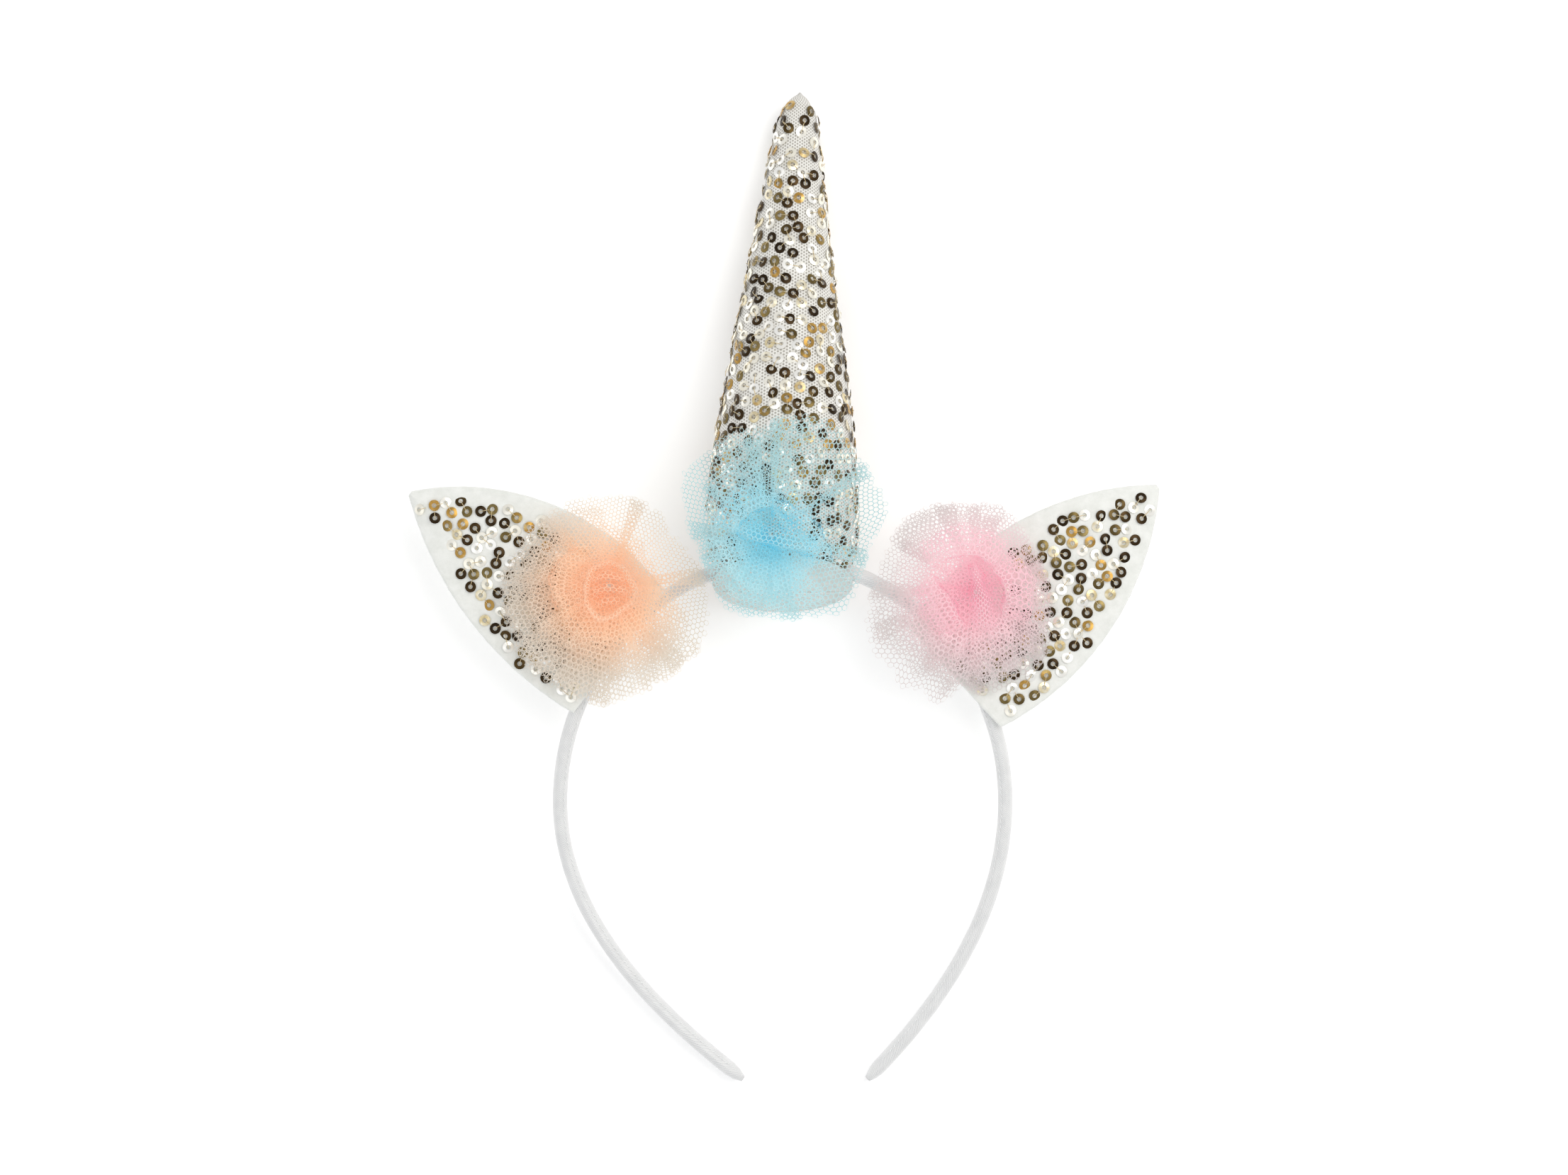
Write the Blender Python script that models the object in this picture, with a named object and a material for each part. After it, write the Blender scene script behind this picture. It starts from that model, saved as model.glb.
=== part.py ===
"""Sequined unicorn horn headband with two felt ears and three tulle rosettes, lying on its back.

Metres. +X is the wearer's left as seen from the front, +Y runs from the band's tips to the horn's tip,
and +Z points up from the surface, out of the headband's front.
"""

import math

import bmesh
import bpy
from mathutils import Vector

MM = 0.001
GAP = 0.3 * MM  # left between pieces that are glued or sewn face to face
FAR_OUT = 1e9  # farther out than any corner of the headband

# Headband: a sprung core wrapped in satin, measured along its middle line.
BAND_HALF_WIDTH = 60.0 * MM
BAND_CROWN_RISE = 65.7 * MM  # from the widest line up to the top
BAND_ARM_DROP = 75.4 * MM  # from the widest line down to the tips
LEFT_TIP_OUT = 10.8 * MM  # the left arm has sprung further in than the right one
RIGHT_TIP_OUT = 23.0 * MM
BAND_THICK = 3.8 * MM  # seen from the front
BAND_DEPTH = 7.0 * MM  # from front to back
BAND_TIP_LENGTH = 5.0 * MM  # the stretch over which each end rounds off
CROWN_STEPS = 38
ARM_STEPS = 14
# The wrapped section, a column each for the share of half the thickness and of half the depth.
# Its front and back are ridges, where the wrap is seamed.
BAND_SECTION = (
    (0.00, 1.00),
    (0.55, 0.84),
    (1.00, 0.30),
    (1.00, -0.40),
    (0.50, -0.90),
    (0.00, -1.00),
    (-0.50, -0.90),
    (-1.00, -0.40),
    (-1.00, 0.30),
    (-0.55, 0.84),
)
# Ends of the band: share of the tip's length from its end, and share of the full section there.
BAND_TIP_ROUNDING = ((0.0, 0.42), (0.15, 0.70), (0.45, 0.90), (1.0, 1.0))

# Horn: a stuffed cone of cloth, which lies along its back and is pressed a little flat there.
HORN_LENGTH = 133.0 * MM
HORN_RADIUS = 20.1 * MM
HORN_PRESS = 0.8 * MM  # how far its round back is flattened by what it lies on
HORN_BELOW_CROWN = 5.1 * MM  # middle of the horn's foot, below the top of the band
HORN_FOOT_TILT = math.radians(21.0)  # the foot faces forwards by this much
HORN_LEAN = 4.4 * MM  # the tip leans to the right
HORN_SIDES = 36
# Shares of the length, of the radius and of the lean, and how much of the foot's tilt is left.
HORN_SECTIONS = (
    (0.000, 0.945, 0.00, 1.00),
    (0.020, 0.970, 0.00, 0.95),
    (0.070, 0.990, 0.01, 0.75),
    (0.168, 1.000, 0.03, 0.35),
    (0.243, 0.970, 0.07, 0.10),
    (0.330, 0.890, 0.15, 0.00),
    (0.458, 0.765, 0.27, 0.00),
    (0.544, 0.675, 0.38, 0.00),
    (0.630, 0.580, 0.48, 0.00),
    (0.716, 0.495, 0.59, 0.00),
    (0.802, 0.415, 0.70, 0.00),
    (0.888, 0.342, 0.84, 0.00),
    (0.935, 0.295, 0.92, 0.00),
    (0.968, 0.232, 0.97, 0.00),
    (0.990, 0.140, 1.00, 0.00),
    (1.000, 0.045, 1.00, 0.00),
)
HORN_SHOULDER_ROW = 3  # row of the widest section: the axis starts to come down there
HORN_NECK_ROW = 12  # row where the tip starts to round: the axis is at its lowest there
# An oval of felt closes the foot, with a notch on each side where the band passes.
FOOT_FELT_THICK = 1.5 * MM
FOOT_FELT_SIDE_LIP = 1.9 * MM  # how far the felt stands out past the horn at each side
FOOT_FELT_HALF_WIDTH = HORN_RADIUS + FOOT_FELT_SIDE_LIP
FOOT_FELT_FRONT_LIP = 0.3 * MM  # the same at the front and at the back
FOOT_FELT_HALF_HEIGHT = HORN_RADIUS + FOOT_FELT_FRONT_LIP
FOOT_NOTCH_FROM = 14.0 * MM  # from the middle of the felt
FOOT_NOTCH_CLEARANCE = 1.0 * MM  # in front of the band and behind it
FOOT_FELT_STEPS = 16  # along each half of the oval

# Ears: flat felt, glued on the front of the band. Seat in degrees from the top of the band
# (left is positive), turn from the band's own outward direction, then sizes.
EAR_COLUMNS = ("name", "seat", "turn", "inset", "length", "width", "upper_bulge", "lower_bulge")
EARS = (
    ("ear_left", 49.2, 1.5, 2.0 * MM, 70.1 * MM, 41.1 * MM, 10.8 * MM, 7.0 * MM),
    ("ear_right", -55.7, 10.9, 4.2 * MM, 74.5 * MM, 36.6 * MM, 10.2 * MM, 9.9 * MM),
)
EAR_THICK = 2.4 * MM
EAR_TIP_WIDTH = 1.4 * MM
EAR_DROOP = 7.0 * MM  # how far the tip hangs back from the plane of the band
EAR_CUP = 1.6 * MM  # how far its two sides fall back from its middle
EAR_FLAT_SHARE = 0.10  # share of its length that lies flat on the band
EAR_STATIONS = (0.0, 0.10, 0.22, 0.34, 0.46, 0.58, 0.70, 0.80, 0.89, 0.95, 0.985, 1.0)
EAR_ACROSS = 5  # points across each face

# Rosettes: gathered tulle on a knot, in ruffled layers round a rolled heart.
TULLE_WALL = 1.0 * MM
KNOT_RADIUS = 4.0 * MM
ROSETTE_HEIGHT = 20.0 * MM
ROSETTE_STEPS = 40
# Each layer's shares: reach of the radius, height at the knot and at the rim of the whole height,
# depth of its ruffles of the radius, and how far it follows the round thing that it sits on.
# Then the number of ruffles and where they start in degrees.
LAYER_COLUMNS = ("reach", "root", "rim", "ruffle", "cling", "count", "start")
ROSETTE_LAYERS = (
    (1.00, 0.040, 0.20, 0.085, 0.42, 8, 0.0),
    (0.80, 0.130, 0.52, 0.080, 0.20, 7, 25.0),
    (0.56, 0.220, 0.80, 0.070, 0.05, 5, 50.0),
)
LAYER_STATIONS = (0.0, 0.40, 0.75, 1.0)
LAYER_CURL = 1.25  # above 1, a layer stays low near the knot and rises towards its rim
SECOND_WAVE = 0.30  # share of a ruffle's depth, in a second wave that makes them uneven
# The heart's rings: share of the rosette's radius and of its height.
ROSETTE_HEART = ((0.15, 0.30), (0.24, 0.50), (0.27, 0.70), (0.23, 0.90), (0.12, 1.00), (0.04, 0.97))
HEART_FOLDS = 3
HEART_FOLD_DEPTH = 0.20  # share of the heart's own radius
HEART_TWIST = math.radians(70.0)  # how far the folds turn over the height
# The outline seen from the front: direction in degrees from the right, and share of the radius.
PEACH_OUTLINE = (
    (0, 1.01), (25, 0.95), (45, 0.90), (53, 0.99), (78, 1.00), (108, 0.98), (137, 0.97),
    (152, 0.95), (167, 1.02), (205, 0.97), (216, 1.04), (237, 1.00), (270, 1.07), (300, 1.00),
    (330, 1.06),
)
BLUE_OUTLINE = (
    (5, 1.06), (20, 1.00), (40, 0.98), (64, 1.11), (80, 1.04), (104, 0.95), (129, 1.01),
    (148, 1.11), (176, 1.00), (215, 0.97), (233, 1.05), (265, 0.99), (285, 1.00), (301, 1.10),
    (318, 1.00), (342, 0.89),
)
PINK_OUTLINE = (
    (0, 0.95), (30, 0.94), (67, 1.10), (86, 1.03), (107, 1.07), (127, 1.05), (148, 0.95),
    (168, 0.94), (207, 1.06), (225, 1.00), (234, 1.10), (246, 1.03), (258, 1.11), (271, 0.86),
    (279, 1.00), (326, 1.06), (346, 0.96),
)
PEACH_RADIUS = 28.5 * MM
BLUE_RADIUS = 28.2 * MM
PINK_RADIUS = 26.6 * MM
# Side rosettes: degrees from the top of the band, and how far outside its middle line.
PEACH_SEAT, PEACH_OUT = 41.6, 11.2 * MM
PINK_SEAT, PINK_OUT = -42.4, 10.0 * MM
BLUE_ABOVE_CROWN = 11.2 * MM
# How far each knot and heart sits from the middle of the outline.
PEACH_HEART = Vector((1.3 * MM, 3.1 * MM))
BLUE_HEART = Vector((-3.2 * MM, -4.2 * MM))
PINK_HEART = Vector((4.0 * MM, 3.0 * MM))

# Heights above the surface, worked out from the sizes above.
HORN_AXIS_HIGH = HORN_RADIUS - HORN_PRESS
HORN_AXIS_LOW = HORN_RADIUS * HORN_SECTIONS[HORN_NECK_ROW][1] - HORN_PRESS
BAND_HEIGHT = BAND_CROWN_RISE + BAND_ARM_DROP
EAR_SEAT = BAND_DEPTH / 2 + GAP
ROSETTE_SEAT = EAR_SEAT + EAR_THICK + GAP
HORN_FRONT = HORN_AXIS_HIGH + HORN_RADIUS
BLUE_SEAT = HORN_FRONT + GAP


def material(name, colour, roughness):
    made = bpy.data.materials.new(name)
    made.use_nodes = True
    shader = made.node_tree.nodes["Principled BSDF"]
    shader.inputs["Base Color"].default_value = (*colour, 1.0)
    shader.inputs["Roughness"].default_value = roughness
    shader.inputs["Metallic"].default_value = 0.0
    return made


def add_object(name, mesh, parent, finish):
    made = bpy.data.objects.new(name, mesh)
    bpy.context.scene.collection.objects.link(made)
    made.parent = parent
    mesh.materials.append(finish)
    mesh.shade_smooth()
    mesh.set_sharp_from_angle(angle=math.radians(45.0))
    return made


def add_empty(name, parent=None):
    made = bpy.data.objects.new(name, None)
    bpy.context.scene.collection.objects.link(made)
    made.parent = parent
    return made


def loft(name, rings):
    """A closed body whose skin runs through rings of equally many points, with flat ends."""
    body = bmesh.new()
    rows = [[body.verts.new(point) for point in ring] for ring in rings]
    count = len(rows[0])
    for low, high in zip(rows, rows[1:]):
        for i in range(count):
            j = (i + 1) % count
            body.faces.new((low[i], low[j], high[j], high[i]))
    body.faces.new(tuple(reversed(rows[0])))
    body.faces.new(rows[-1])
    bmesh.ops.recalc_face_normals(body, faces=body.faces)
    mesh = bpy.data.meshes.new(name)
    body.to_mesh(mesh)
    body.free()
    return mesh


def crown_point(seat_degrees, out=0.0):
    """A point of the crown in the band's plane, its outward direction, and that direction's angle."""
    turn = math.radians(90.0 + seat_degrees)
    middle = Vector((BAND_HALF_WIDTH * math.cos(turn), BAND_CROWN_RISE * (math.sin(turn) - 1.0)))
    outward = Vector((math.cos(turn) / BAND_HALF_WIDTH, math.sin(turn) / BAND_CROWN_RISE))
    outward.normalize()
    return middle + outward * out, outward


def arm_point(side, drop_share):
    """A point of an arm, side -1 left or 1 right, on a parabola from the widest line to the tip."""
    tip_out = RIGHT_TIP_OUT if side > 0 else LEFT_TIP_OUT
    across = BAND_HALF_WIDTH - (BAND_HALF_WIDTH - tip_out) * drop_share**2
    return Vector((side * across, -BAND_CROWN_RISE - BAND_ARM_DROP * drop_share))


def tip_share_of_drop(side):
    """The share of an arm's drop that its rounded tip takes up."""
    tip_out = RIGHT_TIP_OUT if side > 0 else LEFT_TIP_OUT
    return BAND_TIP_LENGTH / math.hypot(BAND_ARM_DROP, 2.0 * (BAND_HALF_WIDTH - tip_out))


def band_tilt():
    """The band slopes from the crown, as high as the horn's axis, down to its arms' ends on the surface."""
    rise = HORN_AXIS_HIGH - BAND_DEPTH / 2
    run = BAND_HEIGHT - BAND_ARM_DROP * min(tip_share_of_drop(-1), tip_share_of_drop(1))
    return math.asin(rise / run)


def arm_line(side):
    """An arm's middle line from its tip up to the widest line, which the crown begins with."""
    end = tip_share_of_drop(side)
    drops = [1.0 - share * end for share, _ in BAND_TIP_ROUNDING[:-1]]
    drops += [(1.0 - end) * (1.0 - i / ARM_STEPS) for i in range(ARM_STEPS)]
    return [arm_point(side, drop) for drop in drops]


def band_line():
    """The band's middle line from the left tip over the crown to the right tip, in its own plane."""
    crown = [crown_point(90.0 - 180.0 * i / CROWN_STEPS)[0] for i in range(CROWN_STEPS + 1)]
    return arm_line(-1) + crown + arm_line(1)[::-1]


def tip_share(along, total):
    """How much of the full section is left at a distance along the band."""
    from_end = min(along, total - along) / BAND_TIP_LENGTH
    for (start, small), (end, large) in zip(BAND_TIP_ROUNDING, BAND_TIP_ROUNDING[1:]):
        if from_end <= end:
            return small + (large - small) * (from_end - start) / (end - start)
    return 1.0


def make_headband(parent, finish):
    line = band_line()
    lengths = [0.0]
    for a, b in zip(line, line[1:]):
        lengths.append(lengths[-1] + (b - a).length)
    rings = []
    for i, point in enumerate(line):
        before, after = line[max(i - 1, 0)], line[min(i + 1, len(line) - 1)]
        along = (after - before).normalized()
        outward = Vector((-along.y, along.x))
        share = tip_share(lengths[i], lengths[-1])
        ring = []
        for across, deep in BAND_SECTION:
            place = point + outward * across * share * BAND_THICK / 2
            ring.append((place.x, place.y, deep * share * BAND_DEPTH / 2))
        rings.append(ring)
    return add_object("headband", loft("headband", rings), parent, finish)


def horn_axis_height(row):
    """The axis comes down evenly from the horn's shoulder to its neck, so that its back lies level."""
    shoulder, neck = HORN_SECTIONS[HORN_SHOULDER_ROW][0], HORN_SECTIONS[HORN_NECK_ROW][0]
    share = (HORN_SECTIONS[row][0] - shoulder) / (neck - shoulder)
    return HORN_AXIS_HIGH + (HORN_AXIS_LOW - HORN_AXIS_HIGH) * min(max(share, 0.0), 1.0)


def make_horn(parent, finish):
    rings = []
    for row, (along, wide, lean, tilt) in enumerate(HORN_SECTIONS):
        height = horn_axis_height(row)
        slope = math.tan(HORN_FOOT_TILT) * tilt
        ring = []
        for i in range(HORN_SIDES):
            turn = 2.0 * math.pi * (i + 0.5) / HORN_SIDES - math.pi / 2
            x = HORN_LEAN * lean + HORN_RADIUS * wide * math.cos(turn)
            rise = HORN_RADIUS * wide * math.sin(turn)
            y = HORN_LENGTH * along - HORN_BELOW_CROWN + rise * slope
            ring.append((x, y, max(height + rise, 0.0)))
        rings.append(ring)
    return add_object("horn", loft("horn", rings), parent, finish)


def cut_horn_saddle(horn, parent):
    """The horn stands astride the band: a saddle as deep as the band is cut up into its foot."""
    reach = 1.6 * HORN_RADIUS
    clear = BAND_THICK / 2 + GAP
    seats = [-60.0 + 10.0 * i for i in range(13)]
    top = [crown_point(seat, clear)[0] for seat in seats]
    top = [point for point in top if abs(point.x) < reach]
    below = top[0].y - 2.0 * HORN_RADIUS
    outline = [Vector((top[0].x, below))] + top + [Vector((top[-1].x, below))]
    half = BAND_DEPTH / 2 + GAP
    rings = [[(p.x, p.y, z) for p in outline] for z in (-half, half)]
    mesh = loft("saddle_cutter", rings)
    cutter = bpy.data.objects.new("saddle_cutter", mesh)
    bpy.context.scene.collection.objects.link(cutter)
    cutter.parent = parent
    cutter.hide_render = True
    cutter.display_type = "WIRE"
    cut = horn.modifiers.new("saddle", "BOOLEAN")
    cut.operation = "DIFFERENCE"
    cut.solver = "EXACT"
    cut.object = cutter


def foot_felt_outline():
    """The felt's oval, anticlockwise, its notches as deep as the band and its clearance."""
    notch = (BAND_DEPTH / 2 + FOOT_NOTCH_CLEARANCE) / math.cos(HORN_FOOT_TILT)
    corner = math.asin(notch / FOOT_FELT_HALF_HEIGHT)
    outline = []
    for side in (1, -1):  # the half in front of the band, then the one behind it
        for i in range(FOOT_FELT_STEPS + 1):
            turn = corner + (math.pi - 2.0 * corner) * i / FOOT_FELT_STEPS
            x = FOOT_FELT_HALF_WIDTH * math.cos(turn)
            y = FOOT_FELT_HALF_HEIGHT * math.sin(turn)
            outline.append((side * x, side * y))
        outline.append((-side * FOOT_NOTCH_FROM, side * notch))
        outline.append((-side * FOOT_NOTCH_FROM, -side * notch))
    return outline


def make_foot_felt(parent, finish):
    """The felt that closes the horn's foot. Its own +Z points out of the foot."""
    rings = [[(x, y, z) for x, y in foot_felt_outline()] for z in (0.0, FOOT_FELT_THICK)]
    felt = add_object("horn_base", loft("horn_base", rings), parent, finish)
    facing = Vector((0.0, -math.cos(HORN_FOOT_TILT), math.sin(HORN_FOOT_TILT)))
    felt.rotation_euler = (math.pi / 2 - HORN_FOOT_TILT, 0.0, 0.0)
    felt.location = Vector((0.0, -HORN_BELOW_CROWN, HORN_AXIS_HIGH)) + facing * GAP
    return felt


def arc_height(along, length, base, tip, bulge):
    """Half width at a share of an ear's length, on an arc from its base corner to its tip."""
    start, end = Vector((0.0, base)), Vector((length, tip))
    chord = end - start
    radius = (chord.length_squared / 4 + bulge**2) / (2 * bulge)
    inward = Vector((chord.y, -chord.x)).normalized()
    centre = (start + end) / 2 + inward * (radius - bulge)
    reach = radius**2 - (along * length - centre.x) ** 2
    return centre.y + math.sqrt(max(reach, 0.0))


def ear_ring(ear, along):
    """One section across an ear, from its lower edge to its upper edge and back underneath."""
    base, tip, length = ear["width"] / 2, EAR_TIP_WIDTH / 2, ear["length"]
    upper = arc_height(along, length, base, tip, ear["upper_bulge"])
    lower = -arc_height(along, length, base, tip, ear["lower_bulge"])
    free = max((along - EAR_FLAT_SHARE) / (1.0 - EAR_FLAT_SHARE), 0.0)
    front, back = [], []
    for i in range(EAR_ACROSS):
        share = i / (EAR_ACROSS - 1)
        y = lower + (upper - lower) * share
        fall = EAR_DROOP * free**2 + EAR_CUP * free * (2.0 * share - 1.0) ** 2
        front.append((along * length, y, EAR_THICK - fall))
        back.append((along * length, y, -fall))
    return front + back[::-1]


def make_ear(row, parent, finish):
    ear = dict(zip(EAR_COLUMNS, row))
    rings = [ear_ring(ear, along) for along in EAR_STATIONS]
    if ear["seat"] > 0:  # on the left the upper edge is on the other side of the ear's own axis
        rings = [[(x, -y, z) for x, y, z in ring] for ring in rings]
    made = add_object(ear["name"], loft(ear["name"], rings), parent, finish)
    place, outward = crown_point(ear["seat"], -ear["inset"])
    made.location = (place.x, place.y, EAR_SEAT)
    made.rotation_euler = (0.0, 0.0, math.atan2(outward.y, outward.x) + math.radians(ear["turn"]))
    return made


def outline_share(outline, degrees):
    """The share of the radius in a direction, read round the outline's table."""
    degrees %= 360.0
    rows = list(outline) + [(outline[0][0] + 360.0, outline[0][1])]
    if degrees < rows[0][0]:
        degrees += 360.0
    for (start, a), (end, b) in zip(rows, rows[1:]):
        if degrees <= end:
            return a + (b - a) * (degrees - start) / (end - start)
    return rows[-1][1]


def roundness_fall(x, radius):
    """How far a round thing of this radius falls away from its top at a distance across it."""
    return radius - math.sqrt(max(radius**2 - x**2, 0.0))


def layer_ring(layer, radius, outline, heart, seat_radius, out, side):
    """A ring of one layer, out being its share of the way from the knot to the rim."""
    ring = []
    shift = heart * (1.0 - layer["reach"] * out)
    for i in range(ROSETTE_STEPS):
        degrees = 360.0 * i / ROSETTE_STEPS
        turn = math.radians(degrees)
        rim = radius * layer["reach"] * outline_share(outline, degrees)
        reach = KNOT_RADIUS + (rim - KNOT_RADIUS) * out
        x = shift.x + reach * math.cos(turn)
        y = shift.y + reach * math.sin(turn)
        lift = ROSETTE_HEIGHT * (layer["root"] + (layer["rim"] - layer["root"]) * out**LAYER_CURL)
        wave = math.cos(layer["count"] * turn + math.radians(layer["start"]))
        wave += SECOND_WAVE * math.sin((layer["count"] - 3) * turn + math.radians(layer["start"]))
        lift += radius * layer["ruffle"] * out**1.5 * wave
        if seat_radius:
            lift -= layer["cling"] * roundness_fall(x, seat_radius)
        ring.append((x, y, lift + side * TULLE_WALL / 2))
    return ring


def heart_ring(radius, heart, wide, high):
    """A ring of the rolled heart: its folds turn as it rises."""
    ring = []
    for i in range(ROSETTE_STEPS):
        turn = 2.0 * math.pi * i / ROSETTE_STEPS
        fold = math.cos(HEART_FOLDS * (turn - HEART_TWIST * high))
        reach = radius * wide * (1.0 + HEART_FOLD_DEPTH * fold)
        x, y = reach * math.cos(turn), reach * math.sin(turn)
        ring.append((heart.x + x, heart.y + y, ROSETTE_HEIGHT * high))
    return ring


def make_rosette(name, radius, outline, heart, parent, finish, seat_radius=0.0):
    """One skin that runs out and back along each ruffled layer in turn, then over the heart."""
    rings = []
    for row in ROSETTE_LAYERS:
        layer = dict(zip(LAYER_COLUMNS, row))
        for side, stations in ((-1, LAYER_STATIONS), (1, reversed(LAYER_STATIONS))):
            for out in stations:
                rings.append(layer_ring(layer, radius, outline, heart, seat_radius, out, side))
    for wide, high in ROSETTE_HEART:
        rings.append(heart_ring(radius, heart, wide, high))
    return add_object(name, loft(name, rings), parent, finish)


def stand_on_floor(frame):
    """Moves the whole headband so that the origin is below the middle of its box."""
    bpy.context.view_layer.update()
    graph = bpy.context.evaluated_depsgraph_get()
    low, high = Vector((FAR_OUT,) * 3), Vector((-FAR_OUT,) * 3)
    for obj in bpy.context.scene.objects:
        if obj.type != "MESH" or obj.hide_render:
            continue
        shown = obj.evaluated_get(graph)
        for vertex in shown.data.vertices:
            place = shown.matrix_world @ vertex.co
            low = Vector(map(min, low, place))
            high = Vector(map(max, high, place))
    frame.location = (-(low.x + high.x) / 2, -(low.y + high.y) / 2, -low.z)
    bpy.context.view_layer.update()


def main():
    for obj in list(bpy.data.objects):
        bpy.data.objects.remove(obj, do_unlink=True)
    satin = material("satin", (0.80, 0.80, 0.81), 0.45)
    sequin_cloth = material("sequin_cloth", (0.62, 0.56, 0.42), 0.35)
    felt = material("felt", (0.84, 0.84, 0.81), 0.95)
    tulle_peach = material("tulle_peach", (0.95, 0.72, 0.55), 0.80)
    tulle_blue = material("tulle_blue", (0.42, 0.78, 0.90), 0.80)
    tulle_pink = material("tulle_pink", (0.93, 0.58, 0.68), 0.80)

    frame = add_empty("headband_frame")
    band_plane = add_empty("band_plane", frame)
    band_plane.location = (0.0, 0.0, HORN_AXIS_HIGH)
    band_plane.rotation_euler = (band_tilt(), 0.0, 0.0)

    make_headband(band_plane, satin)
    horn = make_horn(frame, sequin_cloth)
    cut_horn_saddle(horn, band_plane)
    make_foot_felt(frame, felt)
    for row in EARS:
        make_ear(row, band_plane, sequin_cloth)

    sides = (
        ("rosette_peach", PEACH_RADIUS, PEACH_OUTLINE, PEACH_HEART, PEACH_SEAT, PEACH_OUT, tulle_peach),
        ("rosette_pink", PINK_RADIUS, PINK_OUTLINE, PINK_HEART, PINK_SEAT, PINK_OUT, tulle_pink),
    )
    for name, radius, outline, heart, seat, out, tulle in sides:
        rosette = make_rosette(name, radius, outline, heart, band_plane, tulle)
        place, _ = crown_point(seat, out)
        rosette.location = (place.x, place.y, ROSETTE_SEAT)
    blue = make_rosette(
        "rosette_blue", BLUE_RADIUS, BLUE_OUTLINE, BLUE_HEART, frame, tulle_blue, HORN_RADIUS
    )
    blue.location = (0.0, BLUE_ABOVE_CROWN, BLUE_SEAT)

    stand_on_floor(frame)


main()
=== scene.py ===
import math
from functools import partial

import bmesh
import bpy
import numpy as np
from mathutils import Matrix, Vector, noise


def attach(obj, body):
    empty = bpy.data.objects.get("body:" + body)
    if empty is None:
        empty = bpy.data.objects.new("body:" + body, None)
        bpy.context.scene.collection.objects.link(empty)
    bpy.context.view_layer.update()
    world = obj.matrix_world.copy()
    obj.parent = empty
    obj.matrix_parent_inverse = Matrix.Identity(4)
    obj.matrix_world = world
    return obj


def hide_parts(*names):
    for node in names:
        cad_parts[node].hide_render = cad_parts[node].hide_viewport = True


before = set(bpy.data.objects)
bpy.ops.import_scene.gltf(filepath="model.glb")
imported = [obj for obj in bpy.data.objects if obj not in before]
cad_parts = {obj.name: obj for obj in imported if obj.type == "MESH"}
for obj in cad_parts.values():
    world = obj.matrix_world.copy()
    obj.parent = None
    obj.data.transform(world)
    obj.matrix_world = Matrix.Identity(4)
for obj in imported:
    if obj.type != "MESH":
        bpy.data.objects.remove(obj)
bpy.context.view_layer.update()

mm = 0.001

# How the headband lies, in the numbers of the CAD source
lay = {
    "shift": (-0.34 * mm, 6.48 * mm, 19.3 * mm),  # where the crown's band plane starts
    "tilt": math.radians(6.571),  # the band comes down to the surface at its tips
    "earSeat": 3.8 * mm,
    "rosetteSeat": 6.5 * mm,
    # The knots of the flowers on the crown: degrees from its middle, and how far outside the band
    "knots": {"rosette_peach": (41.6, 11.2 * mm), "rosette_pink": (-42.4, 10.0 * mm)},
    "hornKnot": (11.2 * mm, 39.7 * mm),  # the blue flower's: how far up the horn, and how high
}


# Small helpers

def linearColour(hexCode):
    values = [int(hexCode[i:i + 2], 16) / 255 for i in (1, 3, 5)]
    return tuple(v / 12.92 if v <= 0.04045 else ((v + 0.055) / 1.055) ** 2.4 for v in values) + (1.0,)


def feed(socket, value):
    if isinstance(value, bpy.types.Node):  # a node stands for its first output
        value = value.outputs[0]
    if isinstance(value, bpy.types.NodeSocket):
        socket.id_data.links.new(value, socket)
    else:
        socket.default_value = value


def addNode(tree, kind, settings=None, inputs=()):
    node = tree.nodes.new(kind)
    for key, value in (settings or {}).items():
        if key == "stops":  # a colour ramp's places and colours
            elements = node.color_ramp.elements
            while len(elements) < len(value):
                elements.new(0.5)
            for element, (place, colour) in zip(elements, value):
                element.position = place
                element.color = linearColour(colour)
        else:
            setattr(node, key, value)
    for key, value in inputs.items() if isinstance(inputs, dict) else enumerate(inputs):
        feed(node.inputs[key], value)
    return node


def newMaterial(name, settings):
    made = bpy.data.materials.new(name)
    made.use_nodes = True
    shader = made.node_tree.nodes["Principled BSDF"]
    for key, value in settings.items():
        shader.inputs[key].default_value = value
    return made, partial(addNode, made.node_tree), shader


def paint(add, shader, stops, tone, bump=None):
    ramp = add("ShaderNodeValToRGB", {"stops": stops}, (tone,))
    feed(shader.inputs["Base Color"], ramp)
    if bump:
        feed(shader.inputs["Normal"], add("ShaderNodeBump", inputs=bump))
    return ramp


def inScene(name, data):
    made = bpy.data.objects.new(name, data)
    bpy.context.scene.collection.objects.link(made)
    return made


def smoothAll(obj, smooth=True):
    obj.data.polygons.foreach_set("use_smooth", [smooth] * len(obj.data.polygons))


def pointValues(obj, name, values):
    obj.data.attributes.new(name, "FLOAT", "POINT").data.foreach_set("value", np.array(values, np.float32))


def meshObject(name, points, faces, material, smooth=True):
    mesh = bpy.data.meshes.new(name)
    mesh.from_pydata([tuple(p) for p in points], [], [tuple(f) for f in faces])
    mesh.materials.append(material)
    made = inScene(name, mesh)
    smoothAll(made, smooth)
    return made


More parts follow.
